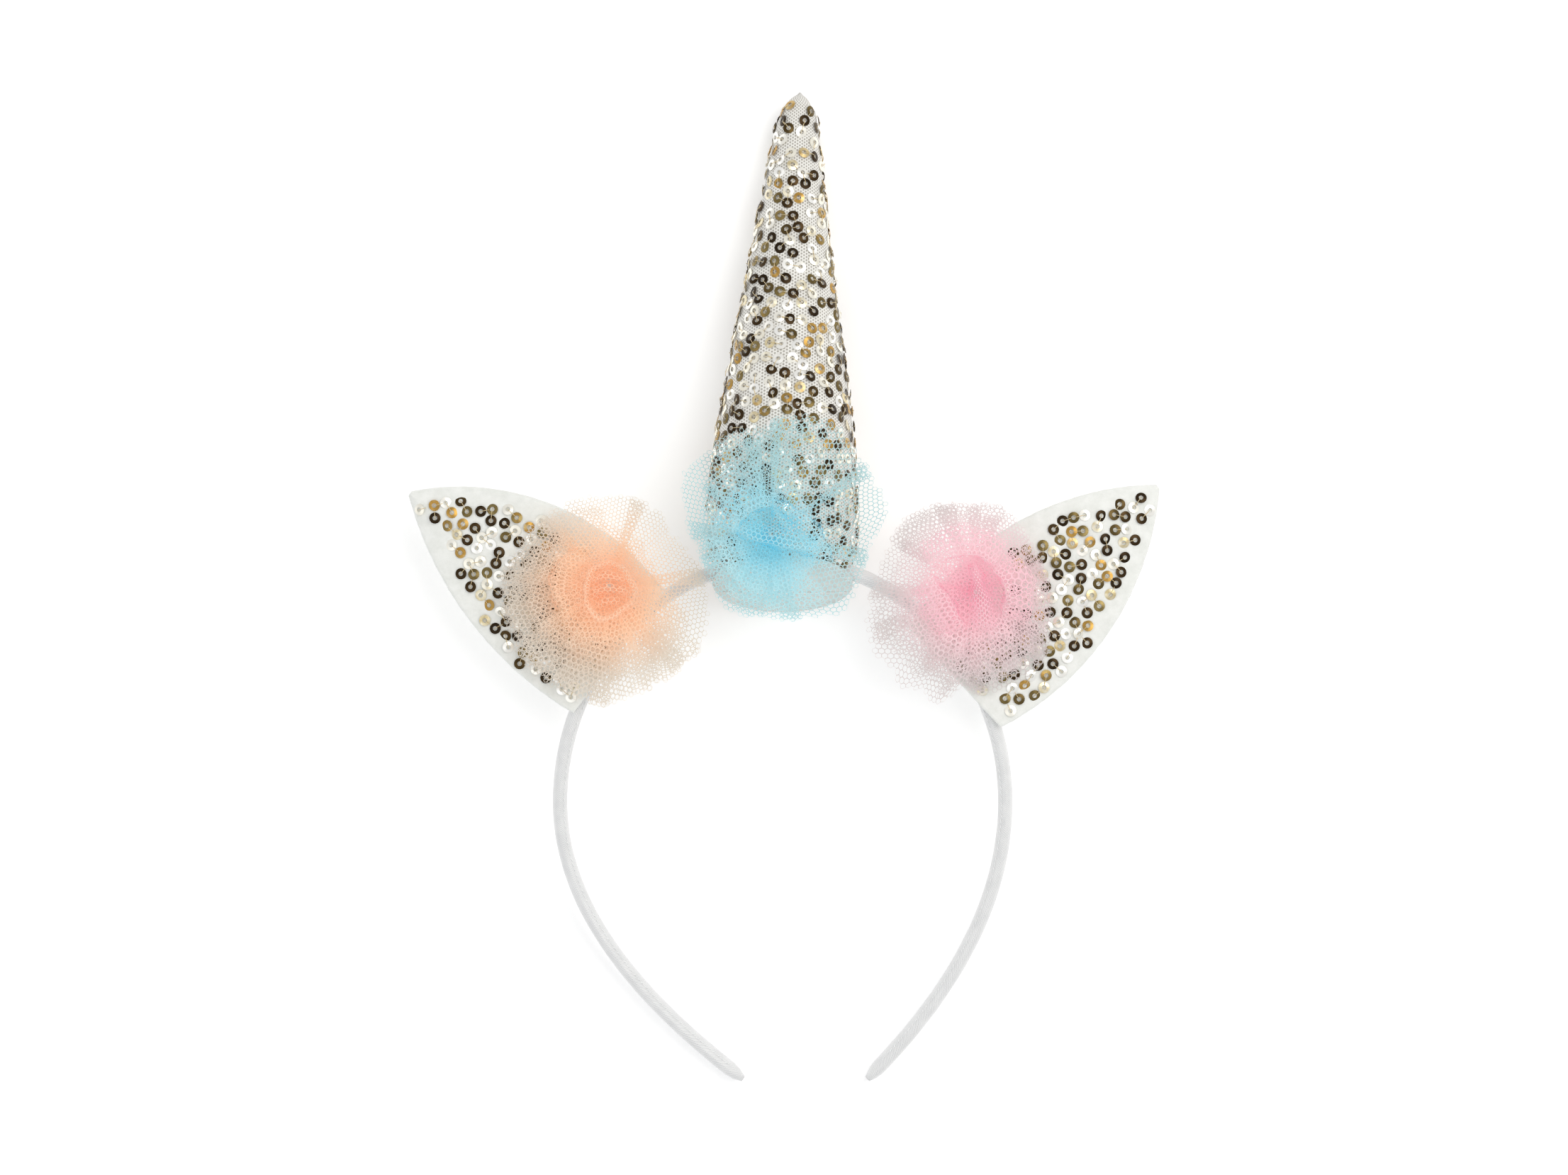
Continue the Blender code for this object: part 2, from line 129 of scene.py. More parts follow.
def loftObject(name, rings, alongs, arounds, material, closeEnds=True):
    rows, count = len(rings), len(rings[0])
    points = [p for ring in rings for p in ring]
    faces, cloth = [], []
    for i in range(rows - 1):
        for j in range(count):
            k = (j + 1) % count
            faces.append((i * count + j, i * count + k, (i + 1) * count + k, (i + 1) * count + j))
            cloth += [(alongs[i], arounds[j]), (alongs[i], arounds[j + 1])]
            cloth += [(alongs[i + 1], arounds[j + 1]), (alongs[i + 1], arounds[j])]
    for row in (0, rows - 1) if closeEnds else ():
        points.append(tuple(sum((Vector(p) for p in rings[row]), Vector()) / count))
        for j in range(count):
            faces.append((row * count + (j + 1) % count, row * count + j, len(points) - 1))
            cloth += [(alongs[row], arounds[j + 1]), (alongs[row], arounds[j]), (alongs[row], arounds[j])]
    made = meshObject(name, points, faces, material)
    layer = made.data.uv_layers.new(name="cloth")
    layer.data.foreach_set("uv", np.array(cloth, np.float32).ravel())
    body = bmesh.new()
    body.from_mesh(made.data)
    bmesh.ops.recalc_face_normals(body, faces=body.faces)
    body.to_mesh(made.data)
    body.free()
    return made


def bake(obj, name, material=None):
    graph = bpy.context.evaluated_depsgraph_get()
    mesh = bpy.data.meshes.new_from_object(obj.evaluated_get(graph), depsgraph=graph)
    mesh.name = name
    made = inScene(name, mesh)
    bpy.data.objects.remove(obj, do_unlink=True)
    if material:
        mesh.materials.clear()
        mesh.materials.append(material)
    return made


def finishPiece(piece, node=None):
    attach(piece, "root")
    if node:
        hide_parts(node)
    print("piece", piece.name, len(piece.data.polygons), "faces")
    return piece


def newTree(name, inputs):
    tree = bpy.data.node_groups.new(name, "GeometryNodeTree")
    for label, kind in {"Geometry": "Geometry", **inputs}.items():
        tree.interface.new_socket(label, in_out="INPUT", socket_type="NodeSocket" + kind)
    tree.interface.new_socket("Geometry", in_out="OUTPUT", socket_type="NodeSocketGeometry")
    add = partial(addNode, tree)
    return add, add("NodeGroupInput").outputs


def closeTree(add, geometry, material=None):
    made = add("GeometryNodeRealizeInstances", inputs=(geometry,))
    if material is not None:
        made = add("GeometryNodeSetMaterial", inputs={"Geometry": made, "Material": material})
    return add("NodeGroupOutput", inputs=(made,)).id_data


def runTree(obj, tree, values):
    modifier = obj.modifiers.new(tree.name, "NODES")
    modifier.node_group = tree
    for item in tree.interface.items_tree:
        if item.in_out == "INPUT" and item.name in values:
            modifier[item.identifier] = values[item.name]
    obj.update_tag()
    bpy.context.view_layer.update()


def smoothStep(x, low, high):
    share = min(max((x - low) / (high - low), 0.0), 1.0)
    return share * share * (3 - 2 * share)


# Materials

def makeSatin():
    # Brushed polyester satin, cut on the bias: silvery white, with a fine slanting twill that catches the light
    made, add, shader = newMaterial("brushedSatin", {
        "Roughness": 0.42, "Sheen Weight": 0.35, "Specular IOR Level": 0.5})
    cloth = add("ShaderNodeUVMap", {"uv_map": "cloth"})
    # The real twill is about 0.2 mm; it is drawn at 0.36 mm, the finest that shows
    turned = add("ShaderNodeMapping", inputs={"Vector": cloth, "Rotation": (0, 0, math.radians(52))})
    wave = add("ShaderNodeTexWave", {"wave_type": "BANDS", "bands_direction": "X"}, {
        "Vector": turned, "Scale": 880.0, "Distortion": 1.2, "Detail": 2.0, "Detail Scale": 2.0}).outputs["Fac"]
    blotch = add("ShaderNodeTexNoise", inputs={"Vector": cloth, "Scale": 260.0, "Detail": 4.0})
    faint = add("ShaderNodeMath", {"operation": "MULTIPLY"}, (wave, 0.45))
    tone = add("ShaderNodeMath", {"operation": "MULTIPLY_ADD"}, (blotch, 0.3, faint))
    paint(add, shader, ((0.12, "#c3c4c6"), (0.38, "#dedfdf"), (0.6, "#efefee")), tone,
          {"Strength": 0.25, "Distance": 0.00004, "Height": wave})
    return made


def makeFelt(name, light, dark, speck):
    # Needled polyester felt: matt and cloudy, with short crossing fibres and a faint nap
    made, add, shader = newMaterial(name, {"Roughness": 0.95, "Sheen Weight": 0.3, "Specular IOR Level": 0.25})
    place = add("ShaderNodeTexCoord").outputs["Object"]
    cloud = add("ShaderNodeTexNoise", inputs={
        "Vector": place, "Scale": 330.0, "Detail": 6.0, "Roughness": 0.65})
    # Fibres are about 0.03 mm; they are drawn three times as thick, so that they show
    stretch = add("ShaderNodeMapping", inputs={
        "Vector": place, "Rotation": (0, 0, 0.6), "Scale": (1, 6, 1)})
    fibre = add("ShaderNodeTexNoise", inputs={
        "Vector": stretch, "Scale": speck, "Detail": 3.0, "Distortion": 1.4})
    both = add("ShaderNodeMath", {"operation": "MULTIPLY_ADD"}, (fibre, 0.55, cloud))
    paint(add, shader, ((0.42, dark), (0.95, light)), both,
          {"Strength": 0.5, "Distance": 0.00018, "Height": both})
    return made


def makeNetCloth():
    # Knitted polyester net laid over white felt: each hole of the net is painted grey, a painted shade in the
    # hole, and pressed in as a small dimple
    made, add, shader = newMaterial("knittedNetOnFelt", {
        "Roughness": 0.8, "Sheen Weight": 0.25, "Specular IOR Level": 0.35})
    cloth = add("ShaderNodeUVMap", {"uv_map": "cloth"})
    pitch = 0.87 * mm  # from hole to hole
    length = 4 * math.pi / (math.sqrt(3) * pitch)
    waves = []
    for turn in (0, 60, 120):
        way = (math.cos(math.radians(turn)) * length, math.sin(math.radians(turn)) * length, 0)
        dot = add("ShaderNodeVectorMath", {"operation": "DOT_PRODUCT"}, (cloth, way))
        waves.append(add("ShaderNodeMath", {"operation": "COSINE"}, (dot.outputs["Value"],)))
    two = add("ShaderNodeMath", {"operation": "ADD"}, waves[:2])
    three = add("ShaderNodeMath", {"operation": "ADD"}, (two, waves[2]))
    share = add("ShaderNodeMapRange", inputs=(three, -1.5, 3.0))
    place = add("ShaderNodeTexCoord").outputs["Object"]
    cloud = add("ShaderNodeTexNoise", inputs={"Vector": place, "Scale": 420.0, "Detail": 4.0})
    both = add("ShaderNodeMath", {"operation": "MULTIPLY_ADD"}, (cloud, 0.25, share))
    low = add("ShaderNodeMath", {"operation": "MULTIPLY"}, (both, -1.0))
    # Painted shade: the ramp's greys darken the net's holes
    paint(add, shader, ((0.22, "#efeee9"), (0.45, "#dad7d0"), (0.68, "#bfbbb3"), (1.0, "#a6a29b")), both,
          {"Strength": 0.6, "Distance": 0.0002, "Height": low})
    return made


def makeSequinFoil():
    # Metallised polyester, punched: a gold mirror film. Each sequin's colour is painted from deep brown to
    # blown white, painted reflections of the dark room and of the lamps, with a fine painted streak of
    # reflection across it; the gold between is the film's own colour
    made, add, shader = newMaterial("goldFoilFilmPaintedReflections", {"Metallic": 0.85, "Roughness": 0.32})
    tone = add("ShaderNodeAttribute", {"attribute_name": "tone"}).outputs["Fac"]
    place = add("ShaderNodeTexCoord").outputs["Object"]
    paintedReflectionStreak = add("ShaderNodeTexNoise", inputs={"Vector": place, "Scale": 650.0, "Detail": 3.0})
    both = add("ShaderNodeMath", {"operation": "MULTIPLY_ADD"}, (paintedReflectionStreak, 0.16, tone))
    # Painted reflection: the ramp's dark browns and near whites stand for the room and the lamps mirrored in
    # the film
    paint(add, shader, (
        (0.10, "#2c2010"), (0.40, "#43321a"), (0.53, "#6f5f38"), (0.60, "#8d7c50"), (0.66, "#b98f45"),
        (0.72, "#d9c99e"), (0.78, "#f9f4e4"), (1.0, "#fffefa")), both)
    return made


def makeThread(name, colour, shine):
    # Twisted metallic or nylon sewing thread: pale, with a fine random darker and lighter mottle along it
    made, add, shader = newMaterial(name, {"Roughness": 0.4, "Metallic": shine})
    place = add("ShaderNodeTexCoord").outputs["Object"]
    threadMottle = add("ShaderNodeTexNoise", inputs={"Vector": place, "Scale": 2500.0, "Detail": 2.0})
    paint(add, shader, ((0.3, colour[0]), (0.7, colour[1])), threadMottle)
    return made


def makeTulle(name, stops):
    # Bobbinet of nylon yarn: nearly white where one layer lies on white; its colour is painted deeper towards
    # the gathered heart, standing in for the light that the many layers there filter and shade
    # The emission strength is a painted glow of the yarn
    made, add, shader = newMaterial(name, {
        "Roughness": 0.6, "Sheen Weight": 0.2, "Specular IOR Level": 0.4, "Emission Strength": 0.16})
    depth = add("ShaderNodeAttribute", {"attribute_name": "depth"}).outputs["Fac"]
    place = add("ShaderNodeTexCoord").outputs["Object"]
    uneven = add("ShaderNodeTexNoise", inputs={"Vector": place, "Scale": 900.0, "Detail": 2.0})
    both = add("ShaderNodeMath", {"operation": "MULTIPLY_ADD"}, (uneven, 0.12, depth))
    ramp = paint(add, shader, stops, both)
    # The translucent half lets light through the yarn from behind; the faint emission of the yarn's own colour
    # is a painted glow that stands in for light going from yarn to yarn in the heap
    feed(shader.inputs["Emission Color"], ramp)
    glow = add("ShaderNodeBsdfTranslucent", inputs={"Color": ramp})
    mixed = add("ShaderNodeMixShader", inputs=(0.5, shader, glow))
    feed(made.node_tree.nodes["Material Output"].inputs["Surface"], mixed)
    return made


satin = makeSatin()
whiteFelt = makeFelt("needledWhiteFelt", "#f3f4f0", "#e0e2dc", 5200.0)
# Painted shade: the felt of the foot is a greyer, cooler copy of the white felt, for the shade that the foot's
# underside lies in
footFeltInPaintedShade = makeFelt("needledBackingFeltPaintedShade", "#dfe6e3", "#bccac8", 4200.0)
netCloth = makeNetCloth()
foil = makeSequinFoil()
goldThread = makeThread("twistedGoldThread", ("#cdb27c", "#f0e2bd"), 0.2)
clearThread = makeThread("drawnNylonThread", ("#e6e9e9", "#ffffff"), 0.0)
# Yarn colours are paler than a heap of net looks, because light bounces from yarn to yarn; each ramp runs from
# the colour painted deep at the heart, for the light that many layers filter there, to the pale rim
peachTulle, blueTulle, pinkTulle = (
    makeTulle("nylonTulle" + name, tuple(zip((0.08, 0.30, 0.62, 1.0), colours))) for name, colours in (
        ("Peach", ("#fabb8f", "#fdd9bf", "#fcdfc5", "#e3dbd0")),
        ("Blue", ("#36c6ea", "#98dfee", "#c4e8ee", "#bedcdf")),
        ("Pink", ("#f798b5", "#fbd0db", "#f8e0e4", "#dcd5d4"))))


# Where things sit on the band

band = {
    "halfWidth": 60.0 * mm, "crownRise": 65.7 * mm, "armDrop": 75.4 * mm,
    "tipOut": {-1: 10.8 * mm, 1: 23.0 * mm},
    "thickness": 3.8 * mm, "depth": 7.0 * mm,
    "tipLength": 5.0 * mm, "tipShare": 0.42,  # how thick the very end is
    "crownSteps": 120, "armSteps": 56,
    "ripple": 0.05 * mm,  # how uneven the wrap is
    "seamStitch": 1.5 * mm, "seamAcross": -0.62, "seamHigh": 0.80,  # shares of the half thickness and depth
}


def bandPlace(x, y, z):
    cosine, sine = math.cos(lay["tilt"]), math.sin(lay["tilt"])
    dx, dy, dz = lay["shift"]
    return Vector((dx + x, dy + y * cosine - z * sine, dz + y * sine + z * cosine))


def crownPoint(seat, out=0.0):
    turn = math.radians(90.0 + seat)
    middle = Vector((band["halfWidth"] * math.cos(turn), band["crownRise"] * (math.sin(turn) - 1)))
    outward = Vector((math.cos(turn) / band["halfWidth"], math.sin(turn) / band["crownRise"])).normalized()
    return middle + outward * out, outward


def armPoint(side, drop):
    across = band["halfWidth"] - (band["halfWidth"] - band["tipOut"][side]) * drop ** 2
    return Vector((side * across, -band["crownRise"] - band["armDrop"] * drop))


def bandLine():
    drops = [1 - i / band["armSteps"] for i in range(band["armSteps"])]
    left, right = ([armPoint(side, drop) for drop in drops] for side in (-1, 1))
    crown = [crownPoint(90 - 180 * i / band["crownSteps"])[0] for i in range(band["crownSteps"] + 1)]
    return left + crown + right[::-1]


def splineThrough(points, steps):
    ends = [points[0] * 2 - points[1]] + points + [points[-1] * 2 - points[-2]]
    made = []
    for a, b, c, d in zip(ends, ends[1:], ends[2:], ends[3:]):
        for t in (i / steps for i in range(steps)):
            made.append(0.5 * (2 * b + (c - a) * t + (2 * a - 5 * b + 4 * c - d) * t ** 2
                               + (3 * b - a - 3 * c + d) * t ** 3))
    return made + [points[-1]]


def makeBand():
    half = [Vector(p) for p in ((0, 1), (0.55, 0.84), (0.93, 0.36), (1, -0.4), (0.5, -0.9), (0, -1))]
    right = splineThrough(half, 4)
    section = right + [Vector((-p.x, p.y)) for p in right[-2:0:-1]]
    line = bandLine()
    halfThick, halfDeep = band["thickness"] / 2, band["depth"] / 2
    lengths, around = [0.0], [0.0]
    for a, b in zip(line, line[1:]):
        lengths.append(lengths[-1] + (b - a).length)
    for a, b in zip(section, section[1:] + section[:1]):
        around.append(around[-1] + math.hypot((b.x - a.x) * halfThick, (b.y - a.y) * halfDeep))
    rings, seam, seamFacing = [], [], []
    for i, point in enumerate(line):
        before, after = line[max(i - 1, 0)], line[min(i + 1, len(line) - 1)]
        along = (after - before).normalized()
        outward = Vector((-along.y, along.x))
        fromEnd = min(lengths[i], lengths[-1] - lengths[i]) / band["tipLength"]
        rise = math.sin(min(fromEnd, 1) * math.pi / 2) ** 0.8
        share = band["tipShare"] + (1 - band["tipShare"]) * rise if fromEnd < 1 else 1.0
        ring = []
        for place in section:
            ripple = band["ripple"] * noise.noise(Vector((lengths[i] / 0.004, place.x * 1.5, place.y * 2)))
            across = place.x * share * (halfThick + ripple)
            ring.append(tuple(bandPlace(*(point + outward * across), place.y * share * (halfDeep + ripple))))
        rings.append(ring)
        if 1.2 < fromEnd:
            across = band["seamAcross"] * halfThick
            seam.append(bandPlace(*(point + outward * across), band["seamHigh"] * halfDeep))
            seamFacing.append(bandPlace(*(outward * -0.55), 0.84) - bandPlace(0, 0, 0))
    made = loftObject("band_wrap", rings, lengths, around, satin)
    finishPiece(made, "headband")
    return seam, seamFacing


def stitchTree():
    add, given = newTree("sewnStitches", {
        "Spacing": "Float", "Length": "Float", "Thread": "Float", "Slant": "Float", "Material": "Material"})
    curve = add("GeometryNodeMeshToCurve", inputs={"Mesh": given["Geometry"]})
    even = add("GeometryNodeResampleCurve", {"mode": "LENGTH"}, {"Curve": curve, "Length": given["Spacing"]})
    facing = add("GeometryNodeInputNamedAttribute", {"data_type": "FLOAT_VECTOR"}, {"Name": "facing"})
    upright = add("FunctionNodeAlignRotationToVector", {"axis": "Z"}, {"Vector": facing})
    aligned = add("FunctionNodeAlignRotationToVector", {"axis": "X", "pivot_axis": "Z"}, {
        "Rotation": upright, "Vector": add("GeometryNodeInputTangent")})
    slant = add("ShaderNodeCombineXYZ", inputs={"Z": given["Slant"]})
    turned = add("FunctionNodeRotateRotation", {"rotation_space": "LOCAL"}, {
        "Rotation": aligned, "Rotate By": slant})
    places = {}
    for label, axis, size, share in (
            ("Start", "X", "Length", -0.5), ("Middle", "Z", "Thread", 2.5), ("End", "X", "Length", 0.5)):
        scaled = add("ShaderNodeMath", {"operation": "MULTIPLY"}, (given[size], share))
        places[label] = add("ShaderNodeCombineXYZ", inputs={axis: scaled})
    arc = add("GeometryNodeCurveQuadraticBezier", inputs={"Resolution": 5, **places})
    profile = add("GeometryNodeCurvePrimitiveCircle", inputs={"Resolution": 5, "Radius": given["Thread"]})
    stitch = add("GeometryNodeCurveToMesh", inputs={
        "Curve": arc, "Profile Curve": profile, "Fill Caps": True})
    copies = add("GeometryNodeInstanceOnPoints", inputs={
        "Points": even, "Instance": stitch, "Rotation": turned})
    return closeTree(add, copies, given["Material"])


def sewAlong(name, path, facing, values):
    mesh = bpy.data.meshes.new(name)
    mesh.from_pydata([tuple(p) for p in path], [(i, i + 1) for i in range(len(path) - 1)], [])
    ways = np.array(facing, np.float32).ravel()
    mesh.attributes.new("facing", "FLOAT_VECTOR", "POINT").data.foreach_set("vector", ways)
    guide = inScene(name + "Guide", mesh)
    runTree(guide, stitches, dict(values, Material=clearThread))
    return finishPiece(bake(guide, name, clearThread))


seamLine, seamFacing = makeBand()
stitches = stitchTree()
sewAlong("headband_seam_stitches", seamLine, seamFacing, {
    "Spacing": band["seamStitch"], "Length": 1.0 * mm, "Thread": 0.09 * mm, "Slant": 0.25})
print("headband made")


# Horn: a stuffed cone of net cloth, blown up a little by a cloth simulation

horn = {
    "length": 133.0 * mm,
    "footY": 1.38 * mm,  # middle of the foot
    "lean": 4.4 * mm,
    "straight": (0.168, 0.935),  # shares of the length between which the middle line comes down
    "high": 19.3 * mm, "low": 5.13 * mm,  # the middle line's height there
    "voxel": 2.2 * mm,
    "pressure": 4.0,
    "stiffness": 12.0,
    "swell": 0.8 * mm,  # the most that a point may move
    "lumps": 0.25 * mm,  # how uneven the stuffing is
    "apex": 175.0 * mm,  # from the foot to where its sides would meet
    "wrap": 0.125,  # how far the flat net turns for each turn about the horn
}


def hornAxis(y):
    along = (y - horn["footY"]) / horn["length"]
    first, last = horn["straight"]
    share = min(max((along - first) / (last - first), 0), 1)
    lean = min(max((along - 0.07) / 0.9, 0), 1) * horn["lean"]
    return lay["shift"][0] + lean, horn["high"] - share * (horn["high"] - horn["low"])


def blow(even):
    # The cloth simulation, on a copy; it gives back where the points go
    scene = bpy.context.scene
    cap = inScene("hornCap", even.data.copy())
    settings = cap.modifiers.new("cloth", "CLOTH").settings
    settings.quality = 6
    settings.use_pressure = True
    settings.uniform_pressure_force = horn["pressure"]
    settings.effector_weights.gravity = 0.0
    settings.tension_stiffness = settings.compression_stiffness = horn["stiffness"]
    for step in range(1, 21):
        scene.frame_set(step)
    graph = bpy.context.evaluated_depsgraph_get()
    blown = np.array([v.co for v in cap.evaluated_get(graph).data.vertices])
    bpy.data.objects.remove(cap, do_unlink=True)
    scene.frame_set(1)
    return blown


def makeHorn():
    body = bmesh.new()
    body.from_mesh(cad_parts["horn"].data)
    bmesh.ops.remove_doubles(body, verts=body.verts, dist=1e-6)
    mesh = bpy.data.meshes.new("hornCloth")
    body.to_mesh(mesh)
    body.free()
    cloth = inScene("hornCloth", mesh)
    remesh = cloth.modifiers.new("even", "REMESH")
    remesh.mode = "VOXEL"
    remesh.voxel_size = horn["voxel"]
    calm = cloth.modifiers.new("calm", "CORRECTIVE_SMOOTH")
    calm.iterations = 6
    calm.use_only_smooth = True
    calm.rest_source = "ORCO"
    even = bake(cloth, "hornEven", netCloth)
    start = np.array([v.co for v in even.data.vertices])
    move = blow(even) - start
    size = np.linalg.norm(move, axis=1, keepdims=True)
    move *= np.minimum(1.0, horn["swell"] / np.maximum(size, 1e-9))
    place = start + move
    for i, vertex in enumerate(even.data.vertices):
        lump = noise.noise(Vector(place[i]) / 0.011) * horn["lumps"]
        nearFoot = smoothStep(place[i][1], 0.008, 0.022)
        point = Vector(start[i]).lerp(Vector(place[i]), nearFoot) + vertex.normal * lump * nearFoot
        vertex.co = (point.x, point.y, max(point.z, 0.0))
    soft = even.modifiers.new("soft", "SUBSURF")
    soft.levels = soft.render_levels = 1
    made = bake(even, "horn_cloth", netCloth)
    smoothAll(made)
    # The net is wrapped round the cone: its flat place is its distance from the apex and its turn about it
    layer = made.data.uv_layers.new(name="cloth")
    points = [v.co for v in made.data.vertices]
    for face in made.data.polygons:
        turns = []
        for index in face.vertices:
            x, z = hornAxis(points[index].y)
            turns.append(math.atan2(points[index].x - x, points[index].z - z))
        for loop, index, turn in zip(face.loop_indices, face.vertices, turns):
            turn -= 2 * math.pi * round((turn - turns[0]) / (2 * math.pi))
            reach = horn["apex"] - (points[index].y - horn["footY"])
            swing = turn * horn["wrap"]
            layer.data[loop].uv = (reach * math.sin(swing), reach * math.cos(swing))
    return finishPiece(made, "horn")


hornPiece = makeHorn()
print("horn made")


# The felt oval that closes the horn's foot

foot = {
    "thickness": 1.5 * mm, "halfWidth": 18.8 * mm, "halfHeight": 19.6 * mm, "tilt": math.radians(21.0),
    "steps": 60, "rounding": 0.35 * mm, "fray": 0.12 * mm, "gap": 0.3 * mm,
    "stitchInset": 0.7 * mm,
    "threadEnd": 17.4 * mm, "threadHigh": -4.0 * mm, "threadSag": 0.5 * mm,
    "threadOut": 1.75 * mm, "threadRadius": 0.13 * mm,
}


def footPlace(x, y, z, inset=0.0):
    # Inset draws a point in towards the middle of the oval
    sine, cosine = math.sin(foot["tilt"]), math.cos(foot["tilt"])
    share = 1 - inset / math.hypot(x, y) if inset else 1
    x, y, z = x * share, y * share, z + foot["gap"]
    return Vector((
        lay["shift"][0] + x, horn["footY"] + y * sine - z * cosine, lay["shift"][2] + y * cosine + z * sine))


def makeFoot():
    outline = []
    for i in range(2 * foot["steps"]):
        turn = math.pi * i / foot["steps"]
        fray = noise.noise(Vector((math.cos(turn) * 14, math.sin(turn) * 14, 5)))
        fray = 1 + foot["fray"] / foot["halfWidth"] * fray
        outline.append((foot["halfWidth"] * math.cos(turn) * fray, foot["halfHeight"] * math.sin(turn) * fray))
    rings = []
    for height, inset in ((0, foot["rounding"]), (0.3, 0.0), (0.7, 0.0), (1, foot["rounding"])):
        rings.append([tuple(footPlace(x, y, height * foot["thickness"], inset)) for x, y in outline])
    count = len(outline)
    made = loftObject("horn_foot_felt", rings, [0, 1, 2, 3], list(range(count + 1)), footFeltInPaintedShade, closeEnds=False)
    body = bmesh.new()
    body.from_mesh(made.data)
    edges = [e for e in body.edges if e.is_boundary]
    bmesh.ops.contextual_create(body, geom=[e for e in edges if e.verts[0].index < count])
    bmesh.ops.contextual_create(body, geom=[e for e in edges if e.verts[0].index >= 3 * count])
    bmesh.ops.triangulate(body, faces=[f for f in body.faces if len(f.verts) > 4])
    bmesh.ops.recalc_face_normals(body, faces=body.faces)
    body.to_mesh(made.data)
    body.free()
    made.data.set_sharp_from_angle(angle=math.radians(60))
    finishPiece(made, "horn_base")
    # Only the upper half of its rim is sewn
    rim = [footPlace(x, y, foot["thickness"], foot["stitchInset"]) for x, y in outline[:foot["steps"] + 1]]
    return rim, [footPlace(0, 0, 1) - footPlace(0, 0, 0)] * len(rim)


def threadTube(name, path, radius, material):
    rings = []
    for i, point in enumerate(path):
        along = (path[min(i + 1, len(path) - 1)] - path[max(i - 1, 0)]).normalized()
        side = along.cross(Vector((0, 0, 1))).normalized()
        up = side.cross(along)
        turns = (math.radians(60 * k) for k in range(6))
        rings.append([tuple(point + (side * math.cos(a) + up * math.sin(a)) * radius) for a in turns])
    made = loftObject(name, rings, list(range(len(rings))), list(range(7)), material)
    return finishPiece(made)


footRim, footFacing = makeFoot()
sewAlong("horn_foot_stitches", footRim, footFacing, {
    "Spacing": 2.2 * mm, "Length": 1.7 * mm, "Thread": 0.11 * mm, "Slant": 1.2})
crossThread = [
    footPlace(
        foot["threadEnd"] * (2 * t - 1), foot["threadHigh"] - foot["threadSag"] * math.sin(math.pi * t),
        foot["threadOut"])
    for t in (i / 24 for i in range(25))]
threadTube("horn_foot_thread", crossThread, foot["threadRadius"], clearThread)
print("foot made")


# Ears: flat felt, cut in two arcs from the base to the tip

ears = {
    "thickness": 2.4 * mm, "tipWidth": 1.4 * mm, "droop": 7.0 * mm, "cup": 1.6 * mm, "flatShare": 0.10,
    "stations": 90, "across": 36, "rounding": 0.7 * mm, "fray": 0.16 * mm, "wave": 0.18 * mm,
    "knotCover": 12.0 * mm,  # how far round a flower's knot no sequin is sewn
    "lane": 3.9 * mm,  # how wide the bare lanes between the sewing lines lie apart
    "left": {
        "seat": 49.2, "turn": 1.5, "inset": 2.0 * mm, "length": 70.1 * mm, "width": 41.1 * mm,
        "upper": 10.8 * mm, "lower": 7.0 * mm, "margins": (4.5 * mm, 2.2 * mm), "knot": "rosette_peach"},
    "right": {
        "seat": -55.7, "turn": 10.9, "inset": 4.2 * mm, "length": 74.5 * mm, "width": 36.6 * mm,
        "upper": 10.2 * mm, "lower": 9.9 * mm, "margins": (5.0 * mm, 2.2 * mm), "knot": "rosette_pink"},
}


def earHalfWidth(along, ear, bulge):
    start, end = Vector((0, ear["width"] / 2)), Vector((ear["length"], ears["tipWidth"] / 2))
    chord = end - start
    radius = (chord.length_squared / 4 + bulge ** 2) / (2 * bulge)
    inward = Vector((chord.y, -chord.x)).normalized()
    centre = (start + end) / 2 + inward * (radius - bulge)
    return centre.y + math.sqrt(max(radius ** 2 - (along * ear["length"] - centre.x) ** 2, 0))


def roundedShare(fromRim):
    return math.sqrt(max(1 - (1 - min(fromRim / ears["rounding"], 1)) ** 2, 0))


def sewnShare(ear, x, fromUpper, fromLower):
    upperMargin, lowerMargin = ear["margins"]
    share = x / ear["length"]
    upperMargin *= 1 - 0.6 * smoothStep(share, 0.75, 0.95)
    lowerMargin += 2.5 * mm * smoothStep(share, 0.35, 0.6) * (1 - smoothStep(share, 0.85, 0.95))
    inside = fromUpper > upperMargin and fromLower > lowerMargin and 3 * mm < x < ear["length"] - 3.2 * mm
    lane = math.sin((fromUpper * 0.55 + x * 0.5) / ears["lane"]) > -0.93
    return 1.0 if inside and lane else 0.0


